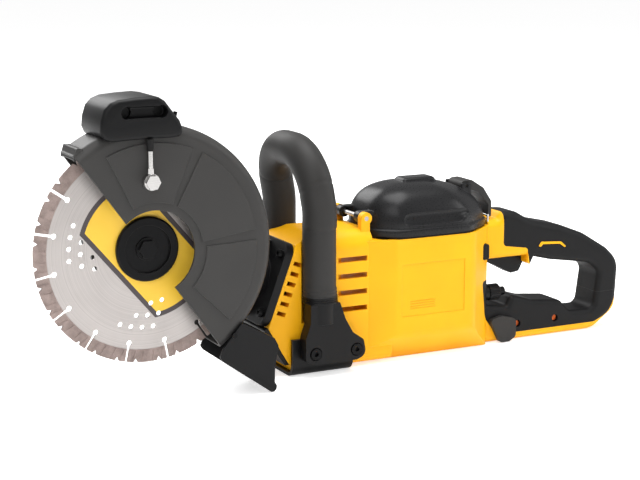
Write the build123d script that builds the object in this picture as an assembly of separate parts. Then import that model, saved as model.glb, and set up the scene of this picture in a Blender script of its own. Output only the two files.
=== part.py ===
from build123d import *
import os
from math import atan2, cos, hypot, pi, radians, sin, tan

# Cordless cut-off saw for rescue work, taken apart into its separate pieces. Millimetres.
# The saw stands on z = 0, its blade end towards -X and its rear handle towards +X.
# y = 0 is the centre plane of the body, and the blade runs on the left of it, at -Y.

# ---------------------------------------------------------------- driving dimensions
# Spindle and blade
SPINDLE_X, SPINDLE_Z = -200.0, 157.0   # the spindle's axis runs along Y
BLADE_Y = -60.0                        # middle plane of the blade
BLADE_R = 115.0                        # a 230 mm cutting disc
CORE_T = 2.0                           # steel centre
SEGMENT_H = 13.0                       # height of the diamond segments
SEGMENT_T = 2.8
SLOTS = 16                             # slots between segments
SLOT_W = 2.6
SLOT_PHASE = 10.35                     # degrees to the first slot
KEYHOLE_R = 2.8                        # round end of each slot
KEYHOLE_DEPTH = 5.9                    # from the segments' foot to the keyhole's centre
NOTCH_W, NOTCH_DEPTH = 6.0, 4.4        # two notches in the rim of each segment
NOTCH_AT = 6.2                         # degrees from the segment's middle to each notch
RELIEF_W, RELIEF_DEPTH = 2.2, 0.45     # slanting grooves pressed into both faces
RELIEF_ANGLES = (-8.2, -3.4, 2.6, 7.4) # degrees from the segment's middle
RELIEF_SLANT = 12.0
VENT_R = 2.5                           # small round holes through the centre
BORE_R = 11.15                         # 22.2 mm arbor bore
SEAT_GAP = 0.03                        # round pieces that seat on each other within a body
RUN_GAP = 0.05                         # round pieces that turn in each other

# Flanges and arbor bolt
FLANGE_R = 32.5
OUTER_FLANGE_T = 4.5
OUTER_FLANGE_FLOOR = 1.5
CUP_R = 24.0
INNER_FLANGE_T = 5.0
BOLT_R = 5.0
BOLT_HEAD_AF, BOLT_HEAD_T = 17.0, 3.4
BOLT_WASHER_R, BOLT_WASHER_T = 11.5, 1.6   # flange under the bolt's head
BOLT_DEPTH = 26.0                      # thread inside the spindle

# Guard: half a drum round the blade
GUARD_WALL = 3.0
GUARD_GAP = 8.0                        # between the blade's rim and the drum
GUARD_R = BLADE_R + GUARD_GAP + GUARD_WALL
GUARD_NEAR_Y, GUARD_FAR_Y = -85.0, -36.0
GUARD_ROUND = 10.0                     # rounding of the drum's rim
GUARD_MOUTH_ANGLE = -53.9              # slope of the mouth's edge, degrees
GUARD_MOUTH_DROP = 5.0                 # the mouth's edge passes this far below the spindle
HUB_NOTCH_R = 42.0                     # notch in the near wall round the flange
HUB_PLATE_R = 50.0                     # far wall round the collar
COLLAR_BORE_R = 27.05
COLLAR_R = 36.0
COLLAR_RIM_R = 46.0
COLLAR_RIM_T = 3.0
RIVET_R = 2.5

# Gearcase, with the motor's axis sloping down and back from the spindle
MOTOR_TILT = 20.7
NOSE_R = 27.0                          # turned nose that the guard's collar runs on
NOSE_END_Y = -48.0
CASE_FRONT_Y, CASE_BACK_Y = -33.5, 26.0
CASE_R = 38.0
NECK_R = 25.5
CASE_FLANGE_AT = 158.0                 # along the motor's axis
CASE_FLANGE_T = 9.0
NOSE_HALF = 43.0                       # half width of the nose that the flange seats on
CASE_FLANGE_W, CASE_FLANGE_H = 2 * NOSE_HALF, 92.0
CASE_SCREW_DY, CASE_SCREW_DN = NOSE_HALF - 8.0, 32.5
GEAR_CHAMBER_R = 31.0
CAP_T = 6.0
GEAR_TEETH, PINION_TEETH = 29, 11
GEAR_MODULE = 1.75
GEAR_FACE = 8.0

# Motor
STATOR_R, STATOR_BORE_R = 28.0, 15.4
STATOR_START, STATOR_LENGTH = 184.0, 34.0
ROTOR_GAP = 0.6
SHAFT_R = 5.0
PINION_SHAFT_R = 4.0

# Body of the saw
BOX_HALF = 52.0                        # half width of the battery box
TAIL_HALF = 22.0                       # half width of the rear handle
CORE_HALF = 14.0                       # half width of the handle's plastic core
COVER_T = 4.0                          # soft cover on the handle's core
DECK_Z = 150.0                         # top of the nose
SEAT_Z = 138.0                         # seat of the battery lid
BOX_FRONT_X, BOX_REAR_X = 64.0, 218.0

# Battery lid
LID_TOP_Z = 194.0
LID_WALL = 3.0
HINGE_X, HINGE_Z = 60.0, 161.0
HINGE_PIN_R = 2.5
KNUCKLE_R = 6.5
LATCH_X, LATCH_Z = 196.0, 184.0

# Front handle, an arch over the body
GRIP_R = 18.5
TUBE_R = 12.5
LEG_WALL = 3.0                         # between the motor and each leg
LEG_X, LEG_Y = -3.5, STATOR_R + LEG_WALL + GRIP_R
LEG_FOOT_Z = 80.0
ARCH_X, ARCH_Z = -14.0, 237.5
LEG_CHANNEL_GAP = 0.8
LEG_SOCKET_R = TUBE_R + 4.5            # round top of each foot

# Bracket under the nose
BRACKET_X0, BRACKET_X1 = -35.5, 36.5
BRACKET_T = 3.5
BRACKET_GAP = 3.0                      # between the nose's flank and the bracket
BRACKET_HALF = NOSE_HALF + BRACKET_GAP + BRACKET_T
BRACKET_TOP_Z = 41.0
FOOT_BOLT_X = (-14.8, 33.5)
FOOT_BOLT_Z = 27.0

# Trigger
TRIGGER_PIVOT_X, TRIGGER_PIVOT_Z = 229.0, 99.0
TRIGGER_HALF = 7.5
TRIGGER_GAP = 0.6


# ---------------------------------------------------------------- helpers
def outline_face(corners, place):
    """Flat face inside a closed outline of (a, b) or (a, b, corner radius)."""
    corners = [(*corner, 0.0)[:3] for corner in corners]
    edges, ends = [], []
    count = len(corners)
    for i, (a, b, radius) in enumerate(corners):
        before, after = corners[i - 1], corners[(i + 1) % count]
        u = (before[0] - a, before[1] - b)
        v = (after[0] - a, after[1] - b)
        lu, lv = hypot(*u), hypot(*v)
        u, v = (u[0] / lu, u[1] / lu), (v[0] / lv, v[1] / lv)
        if radius == 0.0:
            ends.append(((a, b), (a, b), None))
            continue
        half = 0.5 * abs(atan2(u[0] * v[1] - u[1] * v[0], u[0] * v[0] + u[1] * v[1]))
        reach = radius / tan(half)
        m = (u[0] + v[0], u[1] + v[1])
        depth = (radius / sin(half) - radius) / hypot(*m)
        first = (a + u[0] * reach, b + u[1] * reach)
        last = (a + v[0] * reach, b + v[1] * reach)
        ends.append((first, last, (a + m[0] * depth, b + m[1] * depth)))
    for i, (first, last, middle) in enumerate(ends):
        if middle is not None:
            edges.append(ThreePointArc(place(*first), place(*middle), place(*last)))
        start = ends[(i + 1) % count][0]
        edges.append(Line(place(*last), place(*start)))
    return make_face(edges)


def prism(corners, low, high, along="y"):
    """Outline in the other two axes (x-z, y-z or x-y), carried from low to high."""
    place = {
        "x": lambda a, b: (low, a, b),
        "y": lambda a, b: (a, low, b),
        "z": lambda a, b: (a, b, low),
    }[along]
    way = {"x": (1, 0, 0), "y": (0, 1, 0), "z": (0, 0, 1)}[along]
    return extrude(outline_face(corners, place), amount=high - low, dir=way)


def block(x0, x1, y0, y1, z0, z1):
    """Box between two corners."""
    centre = Pos((x0 + x1) / 2, (y0 + y1) / 2, (z0 + z1) / 2)
    return centre * Box(x1 - x0, y1 - y0, z1 - z0)


def rod(radius, start, end):
    """Cylinder between the centres of its two ends."""
    start, end = Vector(*start), Vector(*end)
    axis = end - start
    place = Plane(origin=start, z_dir=axis)
    return place * Pos(0, 0, axis.length / 2) * Cylinder(radius, axis.length)


def rod_y(radius, y0, y1, x=SPINDLE_X, z=SPINDLE_Z):
    """Cylinder along Y, on the spindle's axis unless told otherwise."""
    return rod(radius, (x, y0, z), (x, y1, z))


def ring_y(bore, radius, y0, y1, x=SPINDLE_X, z=SPINDLE_Z):
    """Ring along Y."""
    return rod_y(radius, y0, y1, x, z) - rod_y(bore, y0 - 1, y1 + 1, x, z)


def polar(radius, angle):
    """Point in the blade's plane, at an angle counted from +X towards +Z."""
    a = radians(angle)
    return SPINDLE_X + radius * cos(a), SPINDLE_Z + radius * sin(a)


def about_spindle(shape, angle):
    """Shape turned about the spindle's axis, from +X towards +Z."""
    here = Pos(SPINDLE_X, 0, SPINDLE_Z)
    return here * Rot(0, -angle, 0) * here.inverse() * shape


def group(shapes):
    """Separate solids kept in one node."""
    return Compound(children=[solid for shape in shapes for solid in shape.solids()])


TILT = radians(MOTOR_TILT)
MOTOR_DIR = (cos(TILT), 0.0, -sin(TILT))
# local axes of the motor: x across the body, y up and square to the shaft, z along the shaft
MOTOR = Plane(origin=(SPINDLE_X, 0, SPINDLE_Z), x_dir=(0, 1, 0), z_dir=MOTOR_DIR)


def on_shaft(radius, start, end):
    """Cylinder on the motor's axis, between two distances from the spindle."""
    return MOTOR * Pos(0, 0, (start + end) / 2) * Cylinder(radius, end - start)


def on_shaft_ring(bore, radius, start, end):
    """Ring on the motor's axis."""
    return on_shaft(radius, start, end) - on_shaft(bore, start - 1, end + 1)


def motor_point(across, up, along):
    """Point given in the motor's local axes."""
    return (SPINDLE_X + along * cos(TILT) + up * sin(TILT), across,
            SPINDLE_Z - along * sin(TILT) + up * cos(TILT))


pieces = {}

# ---------------------------------------------------------------- blade and spindle
CORE_R = BLADE_R - SEGMENT_H
CORE_NEAR_Y = BLADE_Y - CORE_T / 2
CORE_FAR_Y = BLADE_Y + CORE_T / 2
SEGMENT_PITCH = 360.0 / SLOTS
SLOT_ANGLES = [SLOT_PHASE + SEGMENT_PITCH * i for i in range(SLOTS)]
# rows of small round holes: radius, first angle, step, count; repeated every quarter turn
VENT_ROWS = ((CORE_R - 22.5, 158.5, 8.5, 4), (CORE_R - 34.4, 169.8, 10.0, 3), (CORE_R - 46.3, 183.7, 12.2, 2))


def make_blade_core():
    """Steel centre with its slots, keyholes and rows of small holes."""
    core = ring_y(BORE_R, CORE_R, CORE_NEAR_Y, CORE_FAR_Y)
    cuts = []
    keyhole_at = CORE_R - KEYHOLE_DEPTH
    slot = block(SPINDLE_X + keyhole_at, SPINDLE_X + CORE_R + 2, CORE_NEAR_Y - 1, CORE_FAR_Y + 1,
                 SPINDLE_Z - SLOT_W / 2, SPINDLE_Z + SLOT_W / 2)
    slot += rod_y(KEYHOLE_R, CORE_NEAR_Y - 1, CORE_FAR_Y + 1, SPINDLE_X + keyhole_at)
    for angle in SLOT_ANGLES:
        cuts.append(about_spindle(slot, angle))
    for quarter in range(4):
        for radius, first, step, count in VENT_ROWS:
            for i in range(count):
                x, z = polar(radius, first + step * i + 90 * quarter)
                cuts.append(rod_y(VENT_R, CORE_NEAR_Y - 1, CORE_FAR_Y + 1, x, z))
    return core - cuts


def make_blade_segments():
    """Diamond segments on the rim, one between each pair of slots, notched and grooved."""
    near, far = BLADE_Y - SEGMENT_T / 2, BLADE_Y + SEGMENT_T / 2
    ring = ring_y(CORE_R, BLADE_R, near, far)
    half = radians(SEGMENT_PITCH / 2)
    out = BLADE_R * 1.2
    gap = SLOT_W / 2
    wedge = prism([(SPINDLE_X + gap / sin(half), SPINDLE_Z),
                   (SPINDLE_X + out, SPINDLE_Z - out * tan(half) + gap / cos(half)),
                   (SPINDLE_X + out, SPINDLE_Z + out * tan(half) - gap / cos(half))], near, far)
    notch = prism([(SPINDLE_X + BLADE_R - NOTCH_DEPTH, SPINDLE_Z),
                   (SPINDLE_X + BLADE_R + 1, SPINDLE_Z - NOTCH_W / 2),
                   (SPINDLE_X + BLADE_R + 1, SPINDLE_Z + NOTCH_W / 2)], near - 1, far + 1)
    segment = ring & wedge
    for angle in (-NOTCH_AT, NOTCH_AT):
        segment -= about_spindle(notch, angle)
    for angle in RELIEF_ANGLES:
        for y0, y1 in ((near - 1, near + RELIEF_DEPTH), (far - RELIEF_DEPTH, far + 1)):
            groove = block(-RELIEF_W / 2 - SEGMENT_H, RELIEF_W / 2 + SEGMENT_H, y0, y1,
                           -RELIEF_W / 2, RELIEF_W / 2)
            here = Pos(SPINDLE_X + CORE_R + 0.6 * SEGMENT_H, 0, SPINDLE_Z)
            groove = here * Rot(0, RELIEF_SLANT, 0) * groove
            groove &= ring_y(CORE_R + 1.5, BLADE_R + 2, near - 1, far + 1)
            segment -= about_spindle(groove, angle)
    middle = SEGMENT_PITCH / 2
    return group([about_spindle(segment, angle + middle) for angle in SLOT_ANGLES])


def hexagon(across_flats, y0, y1, x, z):
    """Hexagonal prism along Y."""
    r = across_flats / 2 / cos(pi / 6)
    corners = [(x + r * cos(i * pi / 3), z + r * sin(i * pi / 3)) for i in range(6)]
    return prism(corners, y0, y1)


OUTER_FLANGE_Y = CORE_NEAR_Y - OUTER_FLANGE_T
FLANGE_FLOOR_Y = CORE_NEAR_Y - OUTER_FLANGE_FLOOR
INNER_FLANGE_Y = CORE_FAR_Y + INNER_FLANGE_T
WASHER_Y = FLANGE_FLOOR_Y - BOLT_WASHER_T
SPINDLE_NOSE_R = 8.5
SPINDLE_R = 10.0
SPINDLE_TAIL_R = 8.0
BEARING_FRONT_R, BEARING_REAR_R = 17.5, 14.0
BEARING_T = 9.0

pieces["blade_core"] = make_blade_core()
pieces["blade_segments"] = make_blade_segments()

outer_flange = rod_y(FLANGE_R, OUTER_FLANGE_Y, CORE_NEAR_Y)
outer_flange = chamfer(outer_flange.edges().sort_by(Axis.Y)[0], 1.5)
outer_flange -= rod_y(CUP_R, OUTER_FLANGE_Y - 1, FLANGE_FLOOR_Y)
outer_flange -= rod_y(BOLT_R + SEAT_GAP, OUTER_FLANGE_Y - 1, CORE_NEAR_Y + 1)
pieces["outer_flange"] = outer_flange

inner_flange = rod_y(FLANGE_R, CORE_FAR_Y, INNER_FLANGE_Y)
inner_flange += rod_y(BORE_R - SEAT_GAP, CORE_NEAR_Y + 0.2, CORE_FAR_Y + 1)
inner_flange -= rod_y(SPINDLE_NOSE_R + SEAT_GAP, CORE_NEAR_Y - 1, INNER_FLANGE_Y + 1)
pieces["inner_flange"] = inner_flange

arbor_bolt = rod_y(BOLT_WASHER_R, WASHER_Y, FLANGE_FLOOR_Y)
arbor_bolt += hexagon(BOLT_HEAD_AF, WASHER_Y - BOLT_HEAD_T, WASHER_Y, SPINDLE_X, SPINDLE_Z)
arbor_bolt += rod_y(BOLT_R, WASHER_Y - 0.5, WASHER_Y + BOLT_DEPTH)
pieces["arbor_bolt"] = arbor_bolt

GEAR_PITCH_R = GEAR_TEETH * GEAR_MODULE / 2
PINION_PITCH_R = PINION_TEETH * GEAR_MODULE / 2
CONE_LENGTH = hypot(GEAR_PITCH_R, PINION_PITCH_R)
GEAR_BACK_Y = PINION_PITCH_R + 9.0
REAR_BEARING_Y = CASE_BACK_Y - 3.0

spindle = rod_y(SPINDLE_NOSE_R, CORE_FAR_Y - 1.0, INNER_FLANGE_Y + 1)
spindle += rod_y(SPINDLE_R, INNER_FLANGE_Y, GEAR_BACK_Y)
spindle += rod_y(SPINDLE_TAIL_R, GEAR_BACK_Y - 1, REAR_BEARING_Y + BEARING_T - 1)
spindle -= rod_y(BOLT_R + SEAT_GAP, CORE_FAR_Y - 2, WASHER_Y + BOLT_DEPTH + 3)
pieces["spindle"] = spindle


def make_bevel(teeth, mate_teeth, bore, back):
    """Straight bevel gear with its cone's tip at the origin, opening along +Z.

    Tooth 0 points along +X. The teeth are slim, so that the pair turns with backlash.
    """
    cone = atan2(teeth, mate_teeth)
    out_r, out_z = CONE_LENGTH * sin(cone), CONE_LENGTH * cos(cone)
    inner = 1 - GEAR_FACE / CONE_LENGTH
    addendum, dedendum = 0.75 * GEAR_MODULE, 1.0 * GEAR_MODULE
    half = 0.19 * pi * GEAR_MODULE
    slope = tan(radians(20))

    def at(height, across, scale):
        radial = (out_r + height * cos(cone)) * scale
        axial = (out_z - height * sin(cone)) * scale
        return radial, across * scale, axial

    root_out, root_in = at(-dedendum, 0, 1), at(-dedendum, 0, inner)
    profile = make_face(Polyline(
        (bore, 0, root_in[2]), (root_in[0], 0, root_in[2]), (root_out[0], 0, root_out[2]),
        (root_out[0], 0, back), (bore, 0, back), close=True))
    gear = revolve(profile, axis=Axis.Z)
    foot = dedendum + 0.25
    ends = []
    for scale in (1, inner):
        ends.append(make_face(Polyline(
            at(-foot, half + foot * slope, scale), at(addendum, half - addendum * slope, scale),
            at(addendum, addendum * slope - half, scale), at(-foot, -half - foot * slope, scale),
            close=True)))
    tooth = loft(ends, ruled=True)
    return gear + [Rot(0, 0, 360 * i / teeth) * tooth for i in range(teeth)]


gear_place = Plane(origin=(SPINDLE_X, 0, SPINDLE_Z), x_dir=MOTOR_DIR, z_dir=(0, 1, 0))
pieces["spindle_gear"] = gear_place * make_bevel(
    GEAR_TEETH, PINION_TEETH, SPINDLE_R + SEAT_GAP, GEAR_BACK_Y)

# ---------------------------------------------------------------- gearcase
PINION_BEARING_AT, MOTOR_BEARING_AT = 42.0, 159.0
PINION_BEARING_R, MOTOR_BEARING_R = 13.0, 13.0
TUNNEL_R = 9.0
RIB_START = 70.0
RETAINER_T = 3.0
LOCK_X = SPINDLE_X + 80.0              # spindle lock, on top of the neck
LOCK_R, LOCK_PIN_R = 7.0, 3.0
LOCK_TRAVEL = 3.5
NECK_TOP_Z = SPINDLE_Z - 80.0 * tan(TILT) + NECK_R / cos(TILT)
LOCK_BOSS_TOP_Z = NECK_TOP_Z + 5.0
LOCK_FLOOR_Z = NECK_TOP_Z - 13.0


def make_gear_case():
    """Cast gearcase: head round the spindle, neck along the shaft and flange to the body."""
    case = rod_y(CASE_R, CASE_FRONT_Y, CASE_BACK_Y)
    case += on_shaft(NECK_R, 0, CASE_FLANGE_AT + 1)
    flange = Box(CASE_FLANGE_W, CASE_FLANGE_H, CASE_FLANGE_T)
    flange = fillet(flange.edges().filter_by(Axis.Z), 13)
    case += MOTOR * Pos(0, 0, CASE_FLANGE_AT + CASE_FLANGE_T / 2) * flange
    rib = prism([(NECK_R - 2, RIB_START), (CASE_FLANGE_H / 2 - 4, CASE_FLANGE_AT),
                 (NECK_R - 2, CASE_FLANGE_AT)], -2.5, 2.5, along="x")
    for turn in (0, 180):
        case += MOTOR * Rot(0, 0, turn) * rib
    case += rod_y(NOSE_R, NOSE_END_Y, CASE_FRONT_Y + 1)
    case += rod(LOCK_R + 3, (LOCK_X, 0, NECK_TOP_Z - 12), (LOCK_X, 0, LOCK_BOSS_TOP_Z))
    case -= rod_y(GEAR_CHAMBER_R, -12, CASE_BACK_Y + 1)
    case -= rod_y(SPINDLE_R + 2, NOSE_END_Y - 1, -10)
    case -= rod_y(BEARING_FRONT_R + SEAT_GAP, NOSE_END_Y - 1, NOSE_END_Y + BEARING_T)
    case -= on_shaft(TUNNEL_R, 10, CASE_FLANGE_AT + CASE_FLANGE_T + 1)
    case -= on_shaft(PINION_BEARING_R + SEAT_GAP, 20, PINION_BEARING_AT + BEARING_T)
    case -= on_shaft(MOTOR_BEARING_R + SEAT_GAP, MOTOR_BEARING_AT, CASE_FLANGE_AT + CASE_FLANGE_T + 1)
    for x, y in CASE_SCREW_PLACES:
        case -= MOTOR * Pos(x, y, CASE_FLANGE_AT + CASE_FLANGE_T / 2) * Cylinder(2.6, CASE_FLANGE_T + 2)
    for angle in CAP_SCREW_ANGLES:
        x, z = polar(CAP_SCREW_AT, angle)
        case -= rod_y(2.0 + SEAT_GAP, CASE_BACK_Y - 14, CASE_BACK_Y + 1, x, z)
    case -= rod(LOCK_R + RUN_GAP, (LOCK_X, 0, LOCK_FLOOR_Z), (LOCK_X, 0, LOCK_BOSS_TOP_Z + 1))
    case -= rod(LOCK_PIN_R + RUN_GAP, (LOCK_X, 0, NECK_TOP_Z - NECK_R), (LOCK_X, 0, LOCK_FLOOR_Z + 1))
    return case


CASE_SCREW_PLACES = [(sy * CASE_SCREW_DY, sn * CASE_SCREW_DN) for sy in (-1, 1) for sn in (-1, 1)]
CAP_SCREW_AT = (GEAR_CHAMBER_R + CASE_R) / 2
CAP_SCREW_ANGLES = [25, 115, 205, 295]
pieces["gear_case"] = make_gear_case()

cap = rod_y(CASE_R, CASE_BACK_Y, CASE_BACK_Y + CAP_T)
cap = chamfer(cap.edges().sort_by(Axis.Y)[-1], 2)
cap += rod_y(GEAR_CHAMBER_R - SEAT_GAP, CASE_BACK_Y - 4, CASE_BACK_Y + 1)
cap += rod_y(BEARING_REAR_R + 4, CASE_BACK_Y, CASE_BACK_Y + CAP_T + 3)
cap -= rod_y(BEARING_REAR_R + SEAT_GAP, CASE_BACK_Y - 5, REAR_BEARING_Y + BEARING_T)
for angle in CAP_SCREW_ANGLES:
    x, z = polar(CAP_SCREW_AT, angle)
    cap -= rod_y(2.0 + SEAT_GAP, CASE_BACK_Y - 1, CASE_BACK_Y + CAP_T + 1, x, z)
pieces["gear_case_cap"] = cap

cap_screws = []
for angle in CAP_SCREW_ANGLES:
    x, z = polar(CAP_SCREW_AT, angle)
    head = CASE_BACK_Y + CAP_T
    screw = rod_y(2.0, CASE_BACK_Y - 12, head, x, z) + rod_y(3.4, head, head + 3, x, z)
    cap_screws.append(screw)

retainer_screws = []
retainer = ring_y(SPINDLE_R + 4, NOSE_R + 4, NOSE_END_Y - RETAINER_T, NOSE_END_Y)
for i in range(4):
    x, z = polar(NOSE_R - 5, 45 + 90 * i)
    retainer -= rod_y(1.5 + SEAT_GAP, NOSE_END_Y - 9, NOSE_END_Y + 1, x, z)
    retainer_screws.append(rod_y(1.5, NOSE_END_Y - RETAINER_T, NOSE_END_Y + 8, x, z)
                           + rod_y(2.6, NOSE_END_Y - RETAINER_T - 1.4, NOSE_END_Y - RETAINER_T, x, z))
    pieces["gear_case"] -= rod_y(1.5 + SEAT_GAP, NOSE_END_Y - 1, NOSE_END_Y + 9, x, z)
pieces["guard_retainer"] = retainer
pieces["gearcase_screws"] = group(cap_screws + retainer_screws)

spindle_bearings = [
    ring_y(SPINDLE_R + RUN_GAP, BEARING_FRONT_R, NOSE_END_Y, NOSE_END_Y + BEARING_T),
    ring_y(SPINDLE_TAIL_R + RUN_GAP, BEARING_REAR_R, REAR_BEARING_Y, REAR_BEARING_Y + BEARING_T)]
pieces["case_screws"] = group([
    MOTOR * (Pos(x, y, CASE_FLANGE_AT + 7) * Cylinder(2.5, 14)
             + Pos(x, y, CASE_FLANGE_AT - 2.5) * Cylinder(4.6, 5)
             - Pos(x, y, CASE_FLANGE_AT - 4) * Cylinder(2.2, 3))
    for x, y in CASE_SCREW_PLACES])

LOCK_HEAD_T = 11.0
lock_bottom_z = LOCK_BOSS_TOP_Z + LOCK_TRAVEL + 1.5 - LOCK_HEAD_T
lock = rod(LOCK_R, (LOCK_X, 0, lock_bottom_z), (LOCK_X, 0, lock_bottom_z + LOCK_HEAD_T))
lock = fillet(lock.edges().sort_by(Axis.Z)[-1], 1.5)
lock += rod(LOCK_PIN_R, (LOCK_X, 0, lock_bottom_z - 12), (LOCK_X, 0, lock_bottom_z + 1))
pieces["spindle_lock_button"] = lock
spring_height = lock_bottom_z - LOCK_FLOOR_Z
coil = Helix(pitch=spring_height / 3.2, height=spring_height - 1.4, radius=5.0)
coil_start = Plane(origin=coil @ 0, z_dir=coil % 0)
lock_spring = sweep(coil_start * Circle(0.6), path=coil, is_frenet=True)
pieces["spindle_lock_spring"] = Pos(LOCK_X, 0, LOCK_FLOOR_Z + 0.7) * lock_spring

# ---------------------------------------------------------------- motor
ROTOR_R = STATOR_BORE_R - ROTOR_GAP
STATOR_END = STATOR_START + STATOR_LENGTH
REAR_SHAFT_END = STATOR_END + 20.0
POLES, POLE_W = 6, 6.0
YOKE_T, SHOE_T = 5.0, 2.0
COIL_GAP = 0.6                         # from each coil to the yoke and to the pole's shoe


def make_stator_core():
    """Laminated ring with inward poles."""
    core = on_shaft_ring(STATOR_R - YOKE_T, STATOR_R, STATOR_START, STATOR_END)
    shoe = on_shaft_ring(STATOR_BORE_R, STATOR_BORE_R + SHOE_T, STATOR_START, STATOR_END)
    middle = (STATOR_START + STATOR_END) / 2
    inner, outer = STATOR_BORE_R + SHOE_T / 2, STATOR_R - YOKE_T / 2
    for i in range(POLES):
        turn = Rot(0, 0, 360 * i / POLES)
        pole = Box(outer - inner, POLE_W, STATOR_LENGTH)
        core += MOTOR * turn * Pos((inner + outer) / 2, 0, middle) * pole
        core += shoe & (MOTOR * turn * Pos(STATOR_BORE_R, 0, middle) * Box(10, 12, STATOR_LENGTH))
    return core


def make_stator_windings():
    """One coil round each pole."""
    middle = (STATOR_START + STATOR_END) / 2
    coils = []
    inner, outer = STATOR_BORE_R + SHOE_T + COIL_GAP, STATOR_R - YOKE_T - COIL_GAP
    for i in range(POLES):
        place = MOTOR * Rot(0, 0, 360 * i / POLES) * Pos((inner + outer) / 2, 0, middle)
        coil_block = Box(outer - inner, POLE_W + 4, STATOR_LENGTH + 8)
        coil_block -= Box(outer - inner + 2, POLE_W + 0.1, STATOR_LENGTH + 0.1)
        coils.append(place * coil_block)
    return group(coils)


def make_fan():
    """Cooling fan with straight vanes."""
    start = CASE_FLANGE_AT + CASE_FLANGE_T + 3
    fan = on_shaft_ring(SHAFT_R + SEAT_GAP, STATOR_R - 2, start + 7, start + 8.5)
    fan += on_shaft_ring(SHAFT_R + SEAT_GAP, 9, start, start + 8)
    for i in range(13):
        vane = Pos(17, 0, start + 3.8) * Box(17, 1.2, 7)
        fan += MOTOR * Rot(0, 0, 360 * i / 13) * vane
    return fan


pieces["stator_core"] = make_stator_core()
pieces["stator_windings"] = make_stator_windings()
pieces["cooling_fan"] = make_fan()
shaft_bearings = [
    on_shaft_ring(SHAFT_R + RUN_GAP, PINION_BEARING_R, PINION_BEARING_AT,
                  PINION_BEARING_AT + BEARING_T),
    on_shaft_ring(SHAFT_R + RUN_GAP, MOTOR_BEARING_R, MOTOR_BEARING_AT,
                  MOTOR_BEARING_AT + CASE_FLANGE_T - 1),
    on_shaft_ring(SHAFT_R + RUN_GAP, MOTOR_BEARING_R, REAR_SHAFT_END - 7, REAR_SHAFT_END)]
pieces["bearings"] = group(spindle_bearings + shaft_bearings)
pinion_back = PINION_BEARING_AT - 2
shaft = on_shaft(PINION_SHAFT_R, CONE_LENGTH - GEAR_FACE - 1, pinion_back)
pieces["rotor_shaft"] = shaft + on_shaft(SHAFT_R, pinion_back, REAR_SHAFT_END)
pieces["rotor_core"] = on_shaft_ring(SHAFT_R + SEAT_GAP, ROTOR_R, STATOR_START + 1, STATOR_END - 1)
pinion = make_bevel(PINION_TEETH, GEAR_TEETH, PINION_SHAFT_R + SEAT_GAP, pinion_back - 2)
pieces["motor_pinion"] = MOTOR * Rot(0, 0, 180 / PINION_TEETH) * pinion

# ---------------------------------------------------------------- guard
MOUTH = radians(GUARD_MOUTH_ANGLE)
mouth_along = (cos(MOUTH), sin(MOUTH))
mouth_in = (-sin(MOUTH), cos(MOUTH))   # from the mouth's edge into the drum


def guard_point(along, inward):
    """Point in the blade's plane, along the mouth's edge and into the drum from it."""
    x = SPINDLE_X + along * mouth_along[0] + (inward - GUARD_MOUTH_DROP) * mouth_in[0]
    z = SPINDLE_Z + along * mouth_along[1] + (inward - GUARD_MOUTH_DROP) * mouth_in[1]
    return x, z


def make_guard_shell():
    """Half drum with a rounded rim, a notch for the flange and a ring for the collar."""
    size = GUARD_R * 1.5
    half_plane = prism([guard_point(-size, 0), guard_point(size, 0), guard_point(size, size),
                        guard_point(-size, size)], GUARD_NEAR_Y - 1, GUARD_FAR_Y + 1)
    drum = rod_y(GUARD_R, GUARD_NEAR_Y, GUARD_FAR_Y)
    drum = fillet(drum.edges().sort_by(Axis.Y)[0], GUARD_ROUND)
    drum = fillet(drum.edges().sort_by(Axis.Y)[-1], GUARD_ROUND / 2)
    inside = rod_y(GUARD_R - GUARD_WALL, GUARD_NEAR_Y + GUARD_WALL, GUARD_FAR_Y - GUARD_WALL)
    inside = fillet(inside.edges().sort_by(Axis.Y)[0], GUARD_ROUND - GUARD_WALL)
    inside = fillet(inside.edges().sort_by(Axis.Y)[-1], GUARD_ROUND / 2 - GUARD_WALL + 1)
    shell = (drum - inside) & half_plane
    shell -= rod_y(HUB_NOTCH_R, GUARD_NEAR_Y - 1, GUARD_NEAR_Y + GUARD_WALL + 1)
    shell += rod_y(HUB_PLATE_R, GUARD_FAR_Y - GUARD_WALL, GUARD_FAR_Y)
    shell -= rod_y(COLLAR_R + SEAT_GAP, GUARD_FAR_Y - GUARD_WALL - 1, GUARD_FAR_Y + 1)
    # flared lip along the mouth's front end
    x, z = guard_point(-GUARD_R * 0.985, 2.0)
    lip = prism([(x - 3, z - 5, 2), (x + 4, z - 5, 2), (x + 9, z + 7, 2), (x + 1, z + 8, 2)],
                GUARD_NEAR_Y + 5, GUARD_FAR_Y - 3)
    return shell + (lip - inside)


def drum_panel(r0, r1, a0, a1, rise, y=GUARD_NEAR_Y):
    """Raised panel on the near wall, between two radii and two angles."""
    ring = ring_y(r0, r1, y - rise, y)
    size = GUARD_R * 2
    corners = [(SPINDLE_X, SPINDLE_Z)]
    for i in range(4):
        a = radians(a0 + (a1 - a0) * i / 3)
        corners.append((SPINDLE_X + size * cos(a), SPINDLE_Z + size * sin(a)))
    return ring & prism(corners, y - rise, y)


guard_shell = make_guard_shell()
PANEL_R, PANEL_RISE = GUARD_R - 18.0, 1.4
for r0, a0, a1 in ((50, 68, 116), (50, 8, 62), (54, -44, 2)):
    guard_shell += drum_panel(r0, PANEL_R, a0, a1, PANEL_RISE)
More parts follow.
